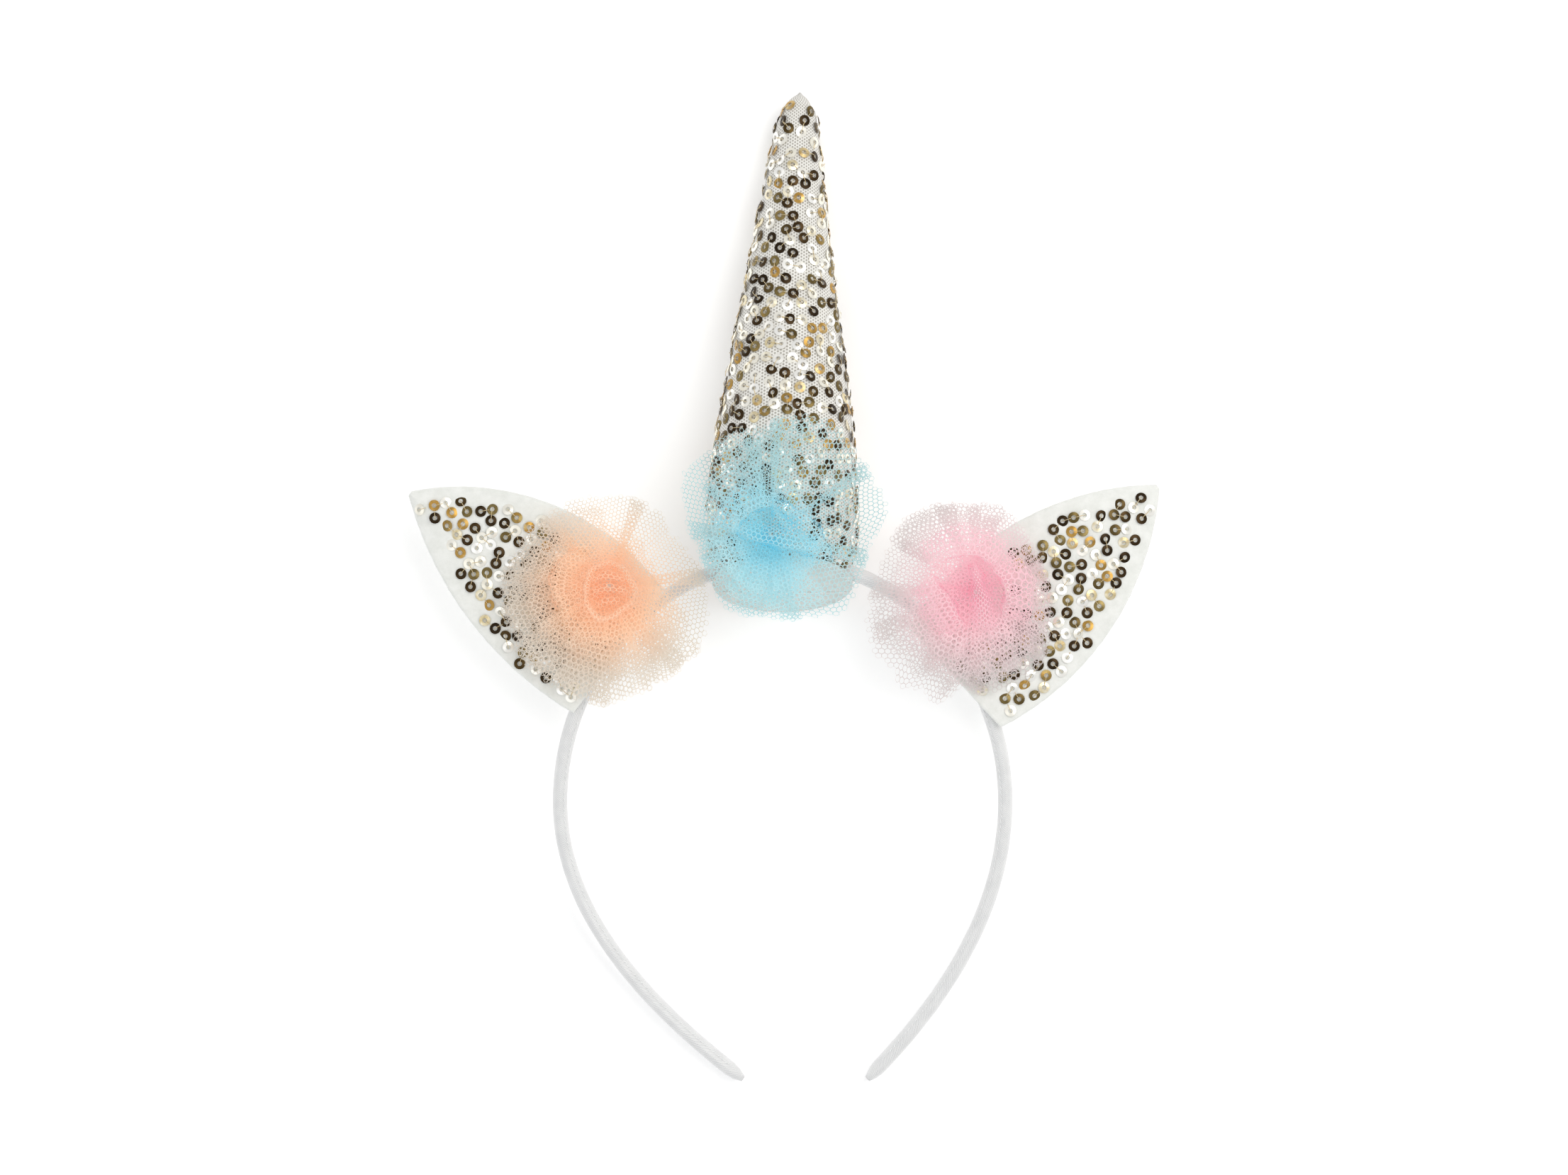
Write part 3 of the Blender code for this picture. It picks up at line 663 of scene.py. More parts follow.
def makeEar(side):
    ear = ears[side]
    mirror = -1 if ear["seat"] > 0 else 1
    place, outward = crownPoint(ear["seat"], -ear["inset"])
    turn = math.atan2(outward.y, outward.x) + math.radians(ear["turn"])
    cosine, sine = math.cos(turn), math.sin(turn)
    stations = [0.5 - 0.5 * math.cos(math.pi * i / (ears["stations"] - 1)) for i in range(ears["stations"])]
    count = ears["across"]
    knot = crownPoint(*lay["knots"][ear["knot"]])[0]
    knot = bandPlace(knot.x, knot.y, 0)
    rings, density = [], []
    for along in stations:
        upper, lower = earHalfWidth(along, ear, ear["upper"]), -earHalfWidth(along, ear, ear["lower"])
        endThin = roundedShare(min(along, 1 - along) * ear["length"]) * 0.85 + 0.15
        upper += ears["fray"] * noise.noise(Vector((along * 130, 3.1, 0)))
        lower += ears["fray"] * noise.noise(Vector((along * 130, 7.7, 0)))
        free = max((along - ears["flatShare"]) / (1 - ears["flatShare"]), 0)
        x = along * ear["length"]
        front, back = [], []
        for i in range(count):
            share = 0.5 - 0.5 * math.cos(math.pi * i / (count - 1))
            y = lower + (upper - lower) * share
            fall = ears["droop"] * free ** 2 + ears["cup"] * free * (2 * share - 1) ** 2
            rim = roundedShare(min(share, 1 - share) * (upper - lower)) * 0.8 + 0.2
            thick = ears["thickness"] / 2 * rim * endThin
            wave = ears["wave"] * noise.noise(Vector((along * 9, share * 5, ear["seat"]))) * free
            middle = lay["earSeat"] + ears["thickness"] / 2 - fall + wave
            flatX = place.x + x * cosine - mirror * y * sine
            flatY = place.y + x * sine + mirror * y * cosine
            for high, row in ((thick, front), (-thick, back)):
                row.append(bandPlace(flatX, flatY, middle + high))
            hidden = math.hypot(front[-1].x - knot.x, front[-1].y - knot.y) < ears["knotCover"]
            density.append(0.0 if hidden else sewnShare(ear, x, upper - y, y - lower))
        rings.append([tuple(p) for p in front + back[::-1]])
    alongs, arounds = [s * ear["length"] for s in stations], [i * mm for i in range(2 * count + 1)]
    finishPiece(loftObject("ear_felt_" + side, rings, alongs, arounds, whiteFelt), "ear_" + side)
    # The front face alone, with how densely it is sewn
    faces = []
    for i in range(len(rings) - 1):
        for a in range(i * count, (i + 1) * count - 1):
            face = (a, a + count, a + count + 1, a + 1)
            faces.append(face if mirror > 0 else face[::-1])
    front = meshObject("earFront", [p for ring in rings for p in ring[:count]], faces, whiteFelt)
    pointValues(front, "sewn", density)
    return front


# Named as the inputs of the tree below
sequins = {
    "Radius": 1.52 * mm,
    "Hole": 0.64 * mm,
    "Film": 0.09 * mm,
    "Cup": 0.10 * mm,  # the middle of a sequin sits lower than its rim
    "Lift": 0.32 * mm,
    "Tilt": 0.24,  # radians
    "Thread": 0.075 * mm,
    "Density": 1200000.0,  # enough for the spacing to decide
}


def sequinTree():
    names = ("Spacing", "Density", "Radius", "Hole", "Film", "Cup", "Lift", "Tilt", "Thread")
    add, given = newTree("sewnSequins", {
        **dict.fromkeys(names, "Float"), "Seed": "Int", "Foil": "Material", "Yarn": "Material"})
    sewn = add("GeometryNodeInputNamedAttribute", {"data_type": "FLOAT"}, {"Name": "sewn"})
    points = add("GeometryNodeDistributePointsOnFaces", {"distribute_method": "POISSON"}, {
        "Mesh": given["Geometry"], "Distance Min": given["Spacing"], "Density Max": given["Density"],
        "Density Factor": sewn, "Seed": given["Seed"]}).outputs
    place = add("GeometryNodeInputPosition")
    nearest = add("GeometryNodeIndexOfNearest", inputs={"Position": place})
    neighbour = add("GeometryNodeSampleIndex", {"data_type": "FLOAT_VECTOR", "domain": "POINT"}, {
        "Geometry": points["Points"], "Value": place, "Index": nearest.outputs["Index"]})
    towards = add("ShaderNodeVectorMath", {"operation": "SUBTRACT"}, (neighbour, place))
    aligned = add("FunctionNodeAlignRotationToVector", {"axis": "X", "pivot_axis": "Z"}, {
        "Rotation": points["Rotation"], "Vector": towards})
    back = add("ShaderNodeMath", {"operation": "MULTIPLY"}, (given["Tilt"], -1.0))
    low = add("ShaderNodeCombineXYZ", inputs=(back, back))
    high = add("ShaderNodeCombineXYZ", inputs=(given["Tilt"], given["Tilt"]))
    lean = add("FunctionNodeRandomValue", {"data_type": "FLOAT_VECTOR"}, {0: low, 1: high, 8: 3})
    turned = add("FunctionNodeRotateRotation", {"rotation_space": "LOCAL"}, {
        "Rotation": aligned, "Rotate By": lean})
    more = add("FunctionNodeRandomValue", {"data_type": "FLOAT"}, {2: 0.8, 3: 2.0, 8: 5})
    lift = add("ShaderNodeMath", {"operation": "MULTIPLY"}, (more.outputs[1], given["Lift"]))
    rise = add("ShaderNodeCombineXYZ", inputs={"Z": lift})
    up = add("FunctionNodeRotateVector", inputs={"Rotation": points["Rotation"], "Vector": rise})
    raised = add("GeometryNodeSetPosition", inputs={"Geometry": points["Points"], "Offset": up})
    # The punched ring: a thin four-sided profile led round a circle
    halves = []
    for operation in ("ADD", "SUBTRACT"):
        whole = add("ShaderNodeMath", {"operation": operation}, (given["Radius"], given["Hole"]))
        halves.append(add("ShaderNodeMath", {"operation": "MULTIPLY"}, (whole, 0.5)))
    middle, wide = halves
    minusWide = add("ShaderNodeMath", {"operation": "MULTIPLY"}, (wide, -1.0))
    minusCup = add("ShaderNodeMath", {"operation": "MULTIPLY"}, (given["Cup"], -1.0))
    rimTop = add("ShaderNodeMath", {"operation": "ADD"}, (given["Cup"], given["Film"]))
    holeTop = add("ShaderNodeMath", {"operation": "ADD"}, (minusCup, given["Film"]))
    corners = ((minusWide, minusCup), (wide, given["Cup"]), (wide, rimTop), (minusWide, holeTop))
    profile = add("GeometryNodeCurvePrimitiveQuadrilateral", {"mode": "POINTS"}, {
        "Point " + str(k + 1): add("ShaderNodeCombineXYZ", inputs=corner) for k, corner in enumerate(corners)})
    ring = add("GeometryNodeCurvePrimitiveCircle", inputs={"Resolution": 16, "Radius": middle})
    washer = add("GeometryNodeCurveToMesh", inputs={"Curve": ring, "Profile Curve": profile})
    flat = add("GeometryNodeSetShadeSmooth", inputs={"Geometry": washer, "Shade Smooth": False})
    shiny = add("GeometryNodeSetMaterial", inputs={"Geometry": flat, "Material": given["Foil"]})
    # The thread that holds it, from the hole over the rim to the next sequin
    arc = add("GeometryNodeCurveQuadraticBezier", inputs={
        "Resolution": 5,
        "Start": (-0.0004, 0, -0.0002), "Middle": (0.0011, 0, 0.00062), "End": (0.0023, 0, -0.0003)})
    strand = add("GeometryNodeCurvePrimitiveCircle", inputs={"Resolution": 4, "Radius": given["Thread"]})
    yarn = add("GeometryNodeCurveToMesh", inputs={
        "Curve": arc, "Profile Curve": strand, "Fill Caps": True})
    gold = add("GeometryNodeSetMaterial", inputs={"Geometry": yarn, "Material": given["Yarn"]})
    single = add("GeometryNodeJoinGeometry", inputs=(gold,))
    feed(single.inputs[0], shiny)
    # Painted reflection fades on the horn's sides: sequins that lie there get less of the painted dark and
    # white reflection in their colour, and show more of their gold
    level = add("ShaderNodeSeparateXYZ", inputs=(points["Normal"],)).outputs["Z"]
    aside = add("ShaderNodeMapRange", inputs=(level, 0.75, 0.1, 0.0, 0.45))
    kept = add("GeometryNodeStoreNamedAttribute", {"data_type": "FLOAT", "domain": "POINT"}, {
        "Geometry": raised, "Name": "aside", "Value": aside})
    copies = add("GeometryNodeInstanceOnPoints", inputs={
        "Points": kept, "Instance": single, "Rotation": turned})
    # Each sequin's painted reflection: a random place on the foil's ramp, from painted dark to painted white
    chance = add("FunctionNodeRandomValue", {"data_type": "FLOAT"}, {2: 0.0, 3: 1.0, 8: 11}).outputs[1]
    readReflectionFadeOnSides = add("GeometryNodeInputNamedAttribute", {"data_type": "FLOAT"}, {"Name": "aside"})
    # 0.56 is gold on the foil's ramp, between the painted dark and the painted white reflections
    toGold = add("ShaderNodeMath", {"operation": "SUBTRACT"}, (0.56, chance))
    tone = add("ShaderNodeMath", {"operation": "MULTIPLY_ADD"}, (toGold, readReflectionFadeOnSides, chance))
    toned = add("GeometryNodeStoreNamedAttribute", {"data_type": "FLOAT", "domain": "INSTANCE"}, {
        "Geometry": copies, "Name": "tone", "Value": tone})
    return closeTree(add, toned)


sequinMaker = sequinTree()


def sewSequins(name, cloth, spacing, seed):
    runTree(cloth, sequinMaker, dict(sequins, Spacing=spacing, Seed=seed, Foil=foil, Yarn=goldThread))
    return finishPiece(bake(cloth, name))


for side, seed in (("left", 4), ("right", 9)):
    sewSequins("ear_sequins_" + side, makeEar(side), 3.05 * mm, seed)
print("ears made")

hornSewing = {
    "spacing": 3.08 * mm, "seed": 21,
    "lowest": 2.0 * mm, "highest": 129.5 * mm,  # above the floor, and up the horn
    # None is sewn under the blue flower's knot
    "knot": (-3.5 * mm, 12.0 * mm), "knotCover": 10.0 * mm, "knotHigh": 30.0 * mm,
}
hornSkin = inScene("hornSkin", hornPiece.data.copy())
hornSewn = []
for vertex in hornSkin.data.vertices:
    x, y, z = vertex.co
    fromKnot = math.hypot(x - hornSewing["knot"][0], y - hornSewing["knot"][1])
    underKnot = fromKnot < hornSewing["knotCover"] and z > hornSewing["knotHigh"]
    facing = vertex.normal.z > -0.93 and vertex.normal.y > -0.75
    within = z > hornSewing["lowest"] and y < hornSewing["highest"]
    hornSewn.append(1.0 if facing and within and not underKnot else 0.0)
pointValues(hornSkin, "sewn", hornSewn)
sewSequins("horn_sequins", hornSkin, hornSewing["spacing"], hornSewing["seed"])
print("sequins sewn")


# Rosettes: layers of net gathered on a knot, round a rolled heart

tulle = {
    "cell": 1.38 * mm,
    "thread": 0.26 * mm,
    "fullness": 1.1,  # how much larger a layer is cut than it lies
    "stripWidth": 28.0 * mm,
    "rowShare": 0.866,  # from row to row, in cells
    "yarnShare": 0.302,  # the rest of the net is holes
    "ragged": 0.35, "seed": 2,  # how many cells are torn open along the rims
    "hornRadius": 20.1 * mm,  # of the horn that the blue flower lies on
}

peachOutline = (
    (0, 1.01), (25, 0.95), (45, 0.90), (53, 0.99), (78, 1.00), (108, 0.98), (137, 0.97), (152, 0.95),
        (167, 1.02),
    (205, 0.97), (216, 1.04), (237, 1.00), (270, 1.07), (300, 1.00), (330, 1.06))
blueOutline = (
    (5, 1.06), (20, 1.00), (40, 0.98), (64, 1.11), (80, 1.04), (104, 0.95), (129, 1.01), (148, 1.11),
        (176, 1.00),
    (215, 0.97), (233, 1.05), (265, 0.99), (285, 1.00), (301, 1.10), (318, 1.00), (342, 0.89))
pinkOutline = (
    (0, 0.95), (30, 0.94), (67, 1.10), (86, 1.03), (107, 1.07), (127, 1.05), (148, 0.95), (168, 0.94),
        (207, 1.06),
    (225, 1.00), (234, 1.10), (246, 1.03), (258, 1.11), (271, 0.86), (279, 1.00), (326, 1.06), (346, 0.96))

# Each layer: reach of the radius, its shift to the side in mm, height at the knot and at the rim in mm, how far
# it follows the round horn, a seed, where it starts and how much net it holds in degrees, and its laid folds:
# where along the net one starts and how far the net then turns back
# Each ridge, in mm: the height of its foot, then points along its crest with the height there and the width of
# the flank to the left and to the right
# A cup is a rolled petal, in mm: its folded width and height, then the line of its rim
rosettes = {
    "rosette_peach": {
        "radius": 28.5 * mm, "outline": peachOutline, "heart": (1.3 * mm, 3.1 * mm),
        "material": peachTulle,
        "layers": (
            (1.00, (0, 0), 0.4, 2.6, 0.0, 3, -72, 360, ((36, 13), (118, 15), (205, 14), (290, 12))),
            (1.00, (0, 0), 0.6, 3.4, 0.0, 5, 146, 250, ((54, 15), (158, 16))),
            (0.96, (-0.8, -0.4), 1.0, 5.0, 0.0, 8, 84, 350, ((44, 12), (128, 16), (226, 13))),
            (0.86, (-3.4, -2.0), 1.6, 7.4, 0.0, 15, 112, 350, ((58, 14), (136, 13), (236, 16))),
            (0.82, (-2.6, -2.6), 2.0, 8.6, 0.0, 17, -152, 300, ((46, 14), (148, 15))),
            (0.70, (-2.4, -2.6), 2.4, 10.0, 0.0, 22, 8, 360, ((62, 15), (158, 16), (262, 14))),
            (0.60, (-1.4, -1.6), 2.8, 11.2, 0.0, 24, -168, 360, ((50, 16), (150, 15), (250, 16))),
            (0.50, (-0.6, -0.8), 3.2, 12.2, 0.0, 27, 60, 360, ((70, 18), (190, 17), (290, 16))),
            (0.36, (0, 0), 4.0, 12.0, 0.0, 28, -40, 360, ((90, 18), (230, 18)))),
        "ridges": (
            (6.0, ((-7.6, 10.0, 9.5, 5.0, 1.2), (-13.0, 7.0, 11.0, 6.0, 1.0), (-14.8, 2.8, 12.0, 7.0, 1.0),
                (-14.8, -1.6, 12.0, 7.0, 1.0), (-12.4, -6.0, 10.5, 6.0, 1.2))),
            (9.0, ((-4.4, 2.4, 11.5, 1.4, 1.4), (-0.6, 3.8, 14.0, 1.9, 1.7), (4.8, 2.6, 12.5, 1.4, 1.4))),
            (9.0, ((-4.2, -0.8, 11.5, 1.5, 1.5), (0.4, 0.4, 14.2, 1.9, 1.8), (5.6, -0.6, 12.5, 1.4, 1.4))),
            (9.0, ((-3.2, -4.6, 12.0, 1.5, 1.5), (0.4, -2.8, 13.6, 1.7, 1.7), (3.8, -3.4, 12.0, 1.4, 1.4)))),
        "cup": ((3.2, 17.5), (
            (-6.0, 0.5), (-4.9, 5.4), (0.4, 8.2), (6.2, 4.4),
            (8.0, -1.4), (3.2, -5.8), (-1.0, -8.4), (-4.6, -6.0))),
    },
    "rosette_blue": {
        "radius": 28.2 * mm, "outline": blueOutline, "heart": (-3.2 * mm, -4.2 * mm),
        "material": blueTulle,
        "layers": (
            (1.00, (0, 0), 0.4, 2.8, 0.42, 31, -120, 360, ((42, 12), (128, 14), (210, 13), (296, 12))),
            (0.97, (-0.4, -0.4), 0.8, 3.8, 0.40, 34, 70, 250, ((48, 14), (150, 15))),
            (0.80, (-1.6, -2.6), 1.4, 6.0, 0.30, 36, 96, 300, ((56, 13), (140, 15), (236, 14))),
            (0.64, (-3.0, -4.6), 1.8, 8.0, 0.20, 41, 150, 260, ((40, 14), (120, 15))),
            (0.56, (-2.0, -4.2), 2.4, 9.4, 0.10, 44, -160, 230, ((52, 14), (130, 15))),
            (0.54, (-2.4, -4.4), 3.2, 10.4, 0.05, 45, 178, 240, ((60, 15), (140, 14))),
            (0.46, (0, -1.5), 4.0, 11.4, 0.0, 47, 10, 360, ((90, 17), (210, 17))),
            (0.30, (0, 0), 5.0, 11.5, 0.0, 49, 120, 360, ((80, 18), (220, 18)))),
        "ridges": (
            (8.0, ((-9.2, 0.9, 13.0, 3.6, 0.8), (-4.6, -1.4, 15.8, 4.8, 0.8), (1.4, -3.0, 17.4, 5.2, 0.9),
                (6.6, -3.7, 16.8, 5.0, 1.2), (12.6, -4.4, 13.0, 4.0, 2.4))),
            (6.0, ((0.4, 8.8, 12.5, 0.8, 2.6), (6.2, 6.5, 15.2, 0.8, 4.2), (10.3, 3.9, 15.6, 0.8, 5.0),
                (13.3, 0.1, 14.0, 0.8, 6.0), (15.0, -3.9, 11.0, 0.8, 7.0), (15.8, -8.0, 7.0, 0.8, 7.0))),
            (7.0, ((-9.4, 0.2, 11.5, 6.0, 0.9), (-8.3, 3.3, 14.0, 7.0, 0.9), (-5.2, 6.2, 14.8, 7.5, 0.9),
                (0.6, 8.0, 13.5, 6.0, 0.9))),
            (9.0, ((1.0, 6.8, 12.5, 1.4, 1.4), (2.6, 3.8, 15.4, 1.9, 1.8), (5.4, 1.2, 15.0, 1.6, 1.8)))),
    },
    "rosette_pink": {
        "radius": 26.6 * mm, "outline": pinkOutline, "heart": (4.0 * mm, 3.0 * mm),
        "material": pinkTulle,
        "layers": (
            (1.00, (0, 0), 0.4, 2.6, 0.0, 51, -106, 360, ((30, 12), (104, 14), (188, 16), (280, 13))),
            (1.00, (0, 0), 0.6, 3.4, 0.0, 53, 60, 270, ((50, 16), (150, 15))),
            (0.97, (0.5, 0.3), 1.0, 5.0, 0.0, 55, 20, 340, ((60, 13), (150, 14), (240, 15))),
            (0.86, (2.4, -1.2), 1.6, 7.4, 0.0, 61, 120, 350, ((56, 14), (150, 15), (246, 14))),
            (0.80, (1.8, -2.0), 2.0, 8.6, 0.0, 63, -130, 300, ((48, 15), (150, 14))),
            (0.70, (1.4, -2.0), 2.4, 10.0, 0.0, 66, 30, 360, ((66, 15), (160, 16), (260, 15))),
            (0.60, (0.6, -1.2), 2.8, 11.2, 0.0, 68, -150, 360, ((54, 16), (152, 15), (254, 16))),
            (0.48, (0, -0.6), 3.2, 12.0, 0.0, 69, 80, 360, ((80, 18), (200, 17), (300, 14))),
            (0.34, (0, 0), 4.0, 11.5, 0.0, 73, -20, 360, ((90, 18), (230, 18)))),
        "ridges": (
            (7.0, ((-0.9, 8.6, 12.5, 0.9, 1.0), (0.0, 4.8, 16.8, 1.7, 1.8), (1.0, 0.0, 17.5, 2.3, 2.4),
                (1.7, -4.4, 16.6, 3.0, 3.2), (1.7, -9.0, 12.5, 4.2, 4.0))),
            (6.0, ((-13.0, 5.2, 10.5, 0.8, 6.0), (-8.6, 0.8, 14.0, 0.8, 9.0), (-5.2, -4.8, 14.0, 0.8, 9.0),
                (-3.2, -9.8, 10.5, 0.8, 7.0))),
            (6.0, ((-12.5, 7.4, 9.5, 6.0, 1.2), (-6.0, 11.2, 12.5, 7.5, 1.2), (0.5, 11.2, 13.0, 7.0, 1.2),
                (5.0, 8.2, 13.5, 6.0, 1.2))),
            (6.0, ((4.2, 7.2, 13.5, 6.0, 0.9), (7.6, 3.4, 14.4, 8.0, 0.9), (8.0, -1.2, 13.5, 8.0, 0.9),
                (6.8, -6.0, 11.0, 7.0, 0.9)))),
    },
}


def outlineShare(outline, degrees):
    places = np.array([row[0] for row in outline] + [outline[0][0] + 360.0])
    shares = np.array([row[1] for row in outline] + [outline[0][1]])
    return np.interp(np.mod(degrees - places[0], 360.0) + places[0], places, shares)


def latticeFaces(columns, rows, closed=True):
    faces = []
    for j in range(rows - 1):
        for i in range(columns if closed else columns - 1):
            a, b = j * columns + i, j * columns + (i + 1) % columns
            c, d = a + columns, b + columns
            faces += [(a, b, c), (b, d, c)] if j % 2 == 0 else [(a, b, d), (a, d, c)]
    return faces


def strip(rimLength, width):
    columns = int(round(rimLength / tulle["cell"]))
    rows = int(round(width / (tulle["cell"] * tulle["rowShare"])))
    row, column = np.meshgrid(np.arange(rows), np.arange(columns), indexing="ij")
    along = ((column + 0.5 * (row % 2)) / columns).ravel()
    out = (row / (rows - 1)).ravel()
    area = columns * rows * tulle["rowShare"] * tulle["cell"] ** 2
    return columns, rows, along, out, area


def disc(radius, turn, span):
    cell = tulle["cell"]
    half = int(radius / cell / 0.8) + 2
    row, column = np.meshgrid(np.arange(-half, half + 1), np.arange(-half, half + 1), indexing="ij")
    flatX, flatY = (column + 0.5 * (row % 2)) * cell, row * cell * tulle["rowShare"]
    x, y = flatX * math.cos(turn) - flatY * math.sin(turn), flatX * math.sin(turn) + flatY * math.cos(turn)
    out, angle = np.hypot(x, y).ravel() / radius, np.degrees(np.arctan2(y, x)).ravel() + 180
    side = 2 * half + 1
    a = (np.arange(side - 1)[:, None] * side + np.arange(side - 1)[None, :])
    b, c, d = a + 1, a + side, a + side + 1
    even = (np.arange(-half, half) % 2 == 0)[:, None]
    first = np.where(even, np.stack([a, b, c]), np.stack([a, b, d])).reshape(3, -1).T
    second = np.where(even, np.stack([b, d, c]), np.stack([a, d, c])).reshape(3, -1).T
    faces = np.concatenate([first, second])
    inside = (out < 1.0) & (angle < span)
    faces = faces[inside[faces].all(axis=1) & (np.ptp(angle[faces], axis=1) < 180)]
    kept = np.unique(faces)
    place = np.full(len(out), -1)
    place[kept] = np.arange(len(kept))
    faces = [tuple(face) for face in place[faces].tolist()]
    return angle[kept], out[kept], faces, math.pi * radius ** 2 * span / 360


def fallOff(x):
    # How far the round horn falls away to the side
    return tulle["hornRadius"] - np.sqrt(np.maximum(tulle["hornRadius"] ** 2 - x ** 2, 0))


def laidOut(cloth, start, folds):
    fine = np.arange(0, 361, 0.5)
    slope, level = np.ones(len(fine)), np.zeros(len(fine))
    for at, back in folds:
        slope[(fine >= at) & (fine < at + back)] = -1
        across = (fine - at - back / 2) / (back / 2)
        level += across * np.exp(-across ** 2 / 4)
    slope = np.convolve(np.pad(slope, 2, mode="edge"), np.ones(5) / 5, "valid")  # the crease is a little round
    lie = start + np.concatenate([[0], np.cumsum(slope[:-1]) * 0.5])
    return np.radians(np.interp(cloth, fine, lie)), np.interp(cloth, fine, level)


def layerPoints(rosette, layer):
    reach, shift, root, rim, cling, seed, start, span, folds = layer
    radius = rosette["radius"] * reach
    swing = np.random.default_rng(seed).uniform(0, 2 * math.pi, 8)
    cloth, out, faces, area = disc(radius * tulle["fullness"], swing[6], span)
    base = np.radians(cloth)
    turn, level = laidOut(cloth, start, folds)
    turn += 0.04 * np.sin(5 * base + swing[0]) * out
    share = outlineShare(rosette["outline"], np.degrees(turn))
    nick = 1.0 if reach == 1 else 1 - 0.05 * (1 + np.sin(3 * base + swing[5]))
    distance = radius * share * nick * out
    heart = rosette["heart"]
    x = heart[0] * (1 - reach * out) + shift[0] * mm * out + distance * np.cos(turn)
    y = heart[1] * (1 - reach * out) + shift[1] * mm * out + distance * np.sin(turn)
    z = (root + (rim - root) * out ** 1.3) * mm + 0.9 * mm * level * out ** 0.6
    z += 1.1 * mm * out * np.sin(4 * base + swing[1]) + 0.6 * mm * out * np.sin(9 * base + swing[2])
    z += 0.9 * mm * (1 - out) ** 1.5 * np.sin(13 * base + swing[4])  # the gathers by the knot
    z -= cling * fallOff(x)
    z = np.maximum(z, 0.3 * mm - (0.42 * fallOff(x) if cling else 0))
    # Painted depth of colour: the net is painted deeper towards the heart, for the light that the layers heaped
    # there filter and shade
    fromHeart = np.hypot(x - heart[0], y - heart[1])
    depth = 0.04 + 0.96 * np.clip(fromHeart / (27 * mm), 0, 1) ** 0.75
    return np.stack([x, y, z], 1), faces, depth, out, area


def ridgePoints(rosette, ridge, number):
    low, table = ridge
    rows = np.array(table)
    run = np.concatenate([[0], np.cumsum(np.hypot(*np.diff(rows[:, :2], axis=0).T))])
    fine = np.linspace(-1.5, run[-1] + 1.5, 60)
    crest = [np.pad(np.interp(fine, run, rows[:, k]), 6, mode="edge") for k in range(5)]
    crest = np.stack([np.convolve(line, np.hanning(15)[1:-1] / 7, "valid") for line in crest], 1)
    flanks = (np.hypot(rows[:, 3], rows[:, 2] - low) + np.hypot(rows[:, 4], rows[:, 2] - low)).mean() * mm
    aim = np.unwrap(np.arctan2(np.gradient(crest[:, 1]), np.gradient(crest[:, 0])))
    beside = np.stack([-np.sin(aim), np.cos(aim)], 1)
    sides = [crest[:, :2] + beside * wide[:, None] for wide in (crest[:, 3], -crest[:, 4])]
    longest = max([np.hypot(*np.diff(side, axis=0).T).sum() for side in sides] + [run[-1] * 1.15])
    columns, lines, along, out, area = strip(longest * mm * 0.98, flanks)
    place = [np.interp(along * (len(fine) - 1), np.arange(len(fine)), crest[:, k]) for k in range(5)]
    heading = np.interp(along * (len(fine) - 1), np.arange(len(fine)), aim)
    across = 2 * out - 1
    fall = np.abs(across) * math.pi / 2
    wide = np.where(across < 0, place[3], -place[4])
    wave = 0.35 * np.sin(along * 17 + 3 * across + number) + 0.2 * np.sin(along * 31 + number * 2)
    offset = wide * np.sin(fall) + wave * (0.4 + np.abs(across))
    top = place[2] + 0.5 * np.sin(along * 9 + number)
    z = top - (top - low) * (1 - np.cos(fall)) + 0.4 * wave
    x = rosette["heart"][0] + (place[0] - np.sin(heading) * offset) * mm
    y = rosette["heart"][1] + (place[1] + np.cos(heading) * offset) * mm
    # Painted light on the ridges: the crest is painted paler, a painted highlight, and the steep flanks are
    # painted deeper going down into the valleys, a painted shade; gentle flanks are painted paler
    gentle = np.clip((np.abs(wide) - 1.0) / 4.0, 0, 1)  # steep flanks dive into the valleys
    depth = 0.24 + 0.30 * np.exp(-(fall / 0.4) ** 2) + (0.22 * gentle - 0.22 * (1 - gentle)) * np.sin(fall) ** 2
    faces = latticeFaces(columns, lines, closed=False)
    return np.stack([x, y, z * mm], 1), faces, depth, np.zeros(len(x)), area


def loopRadius(table, degrees):
    rows = sorted((math.degrees(math.atan2(y, x)) % 360, math.hypot(x, y)) for x, y in table)
    angles = np.array([rows[-1][0] - 360] + [r[0] for r in rows] + [rows[0][0] + 360])
    reaches = np.array([rows[-1][1]] + [r[1] for r in rows] + [rows[0][1]])
    return np.interp(np.mod(degrees, 360), angles, reaches)


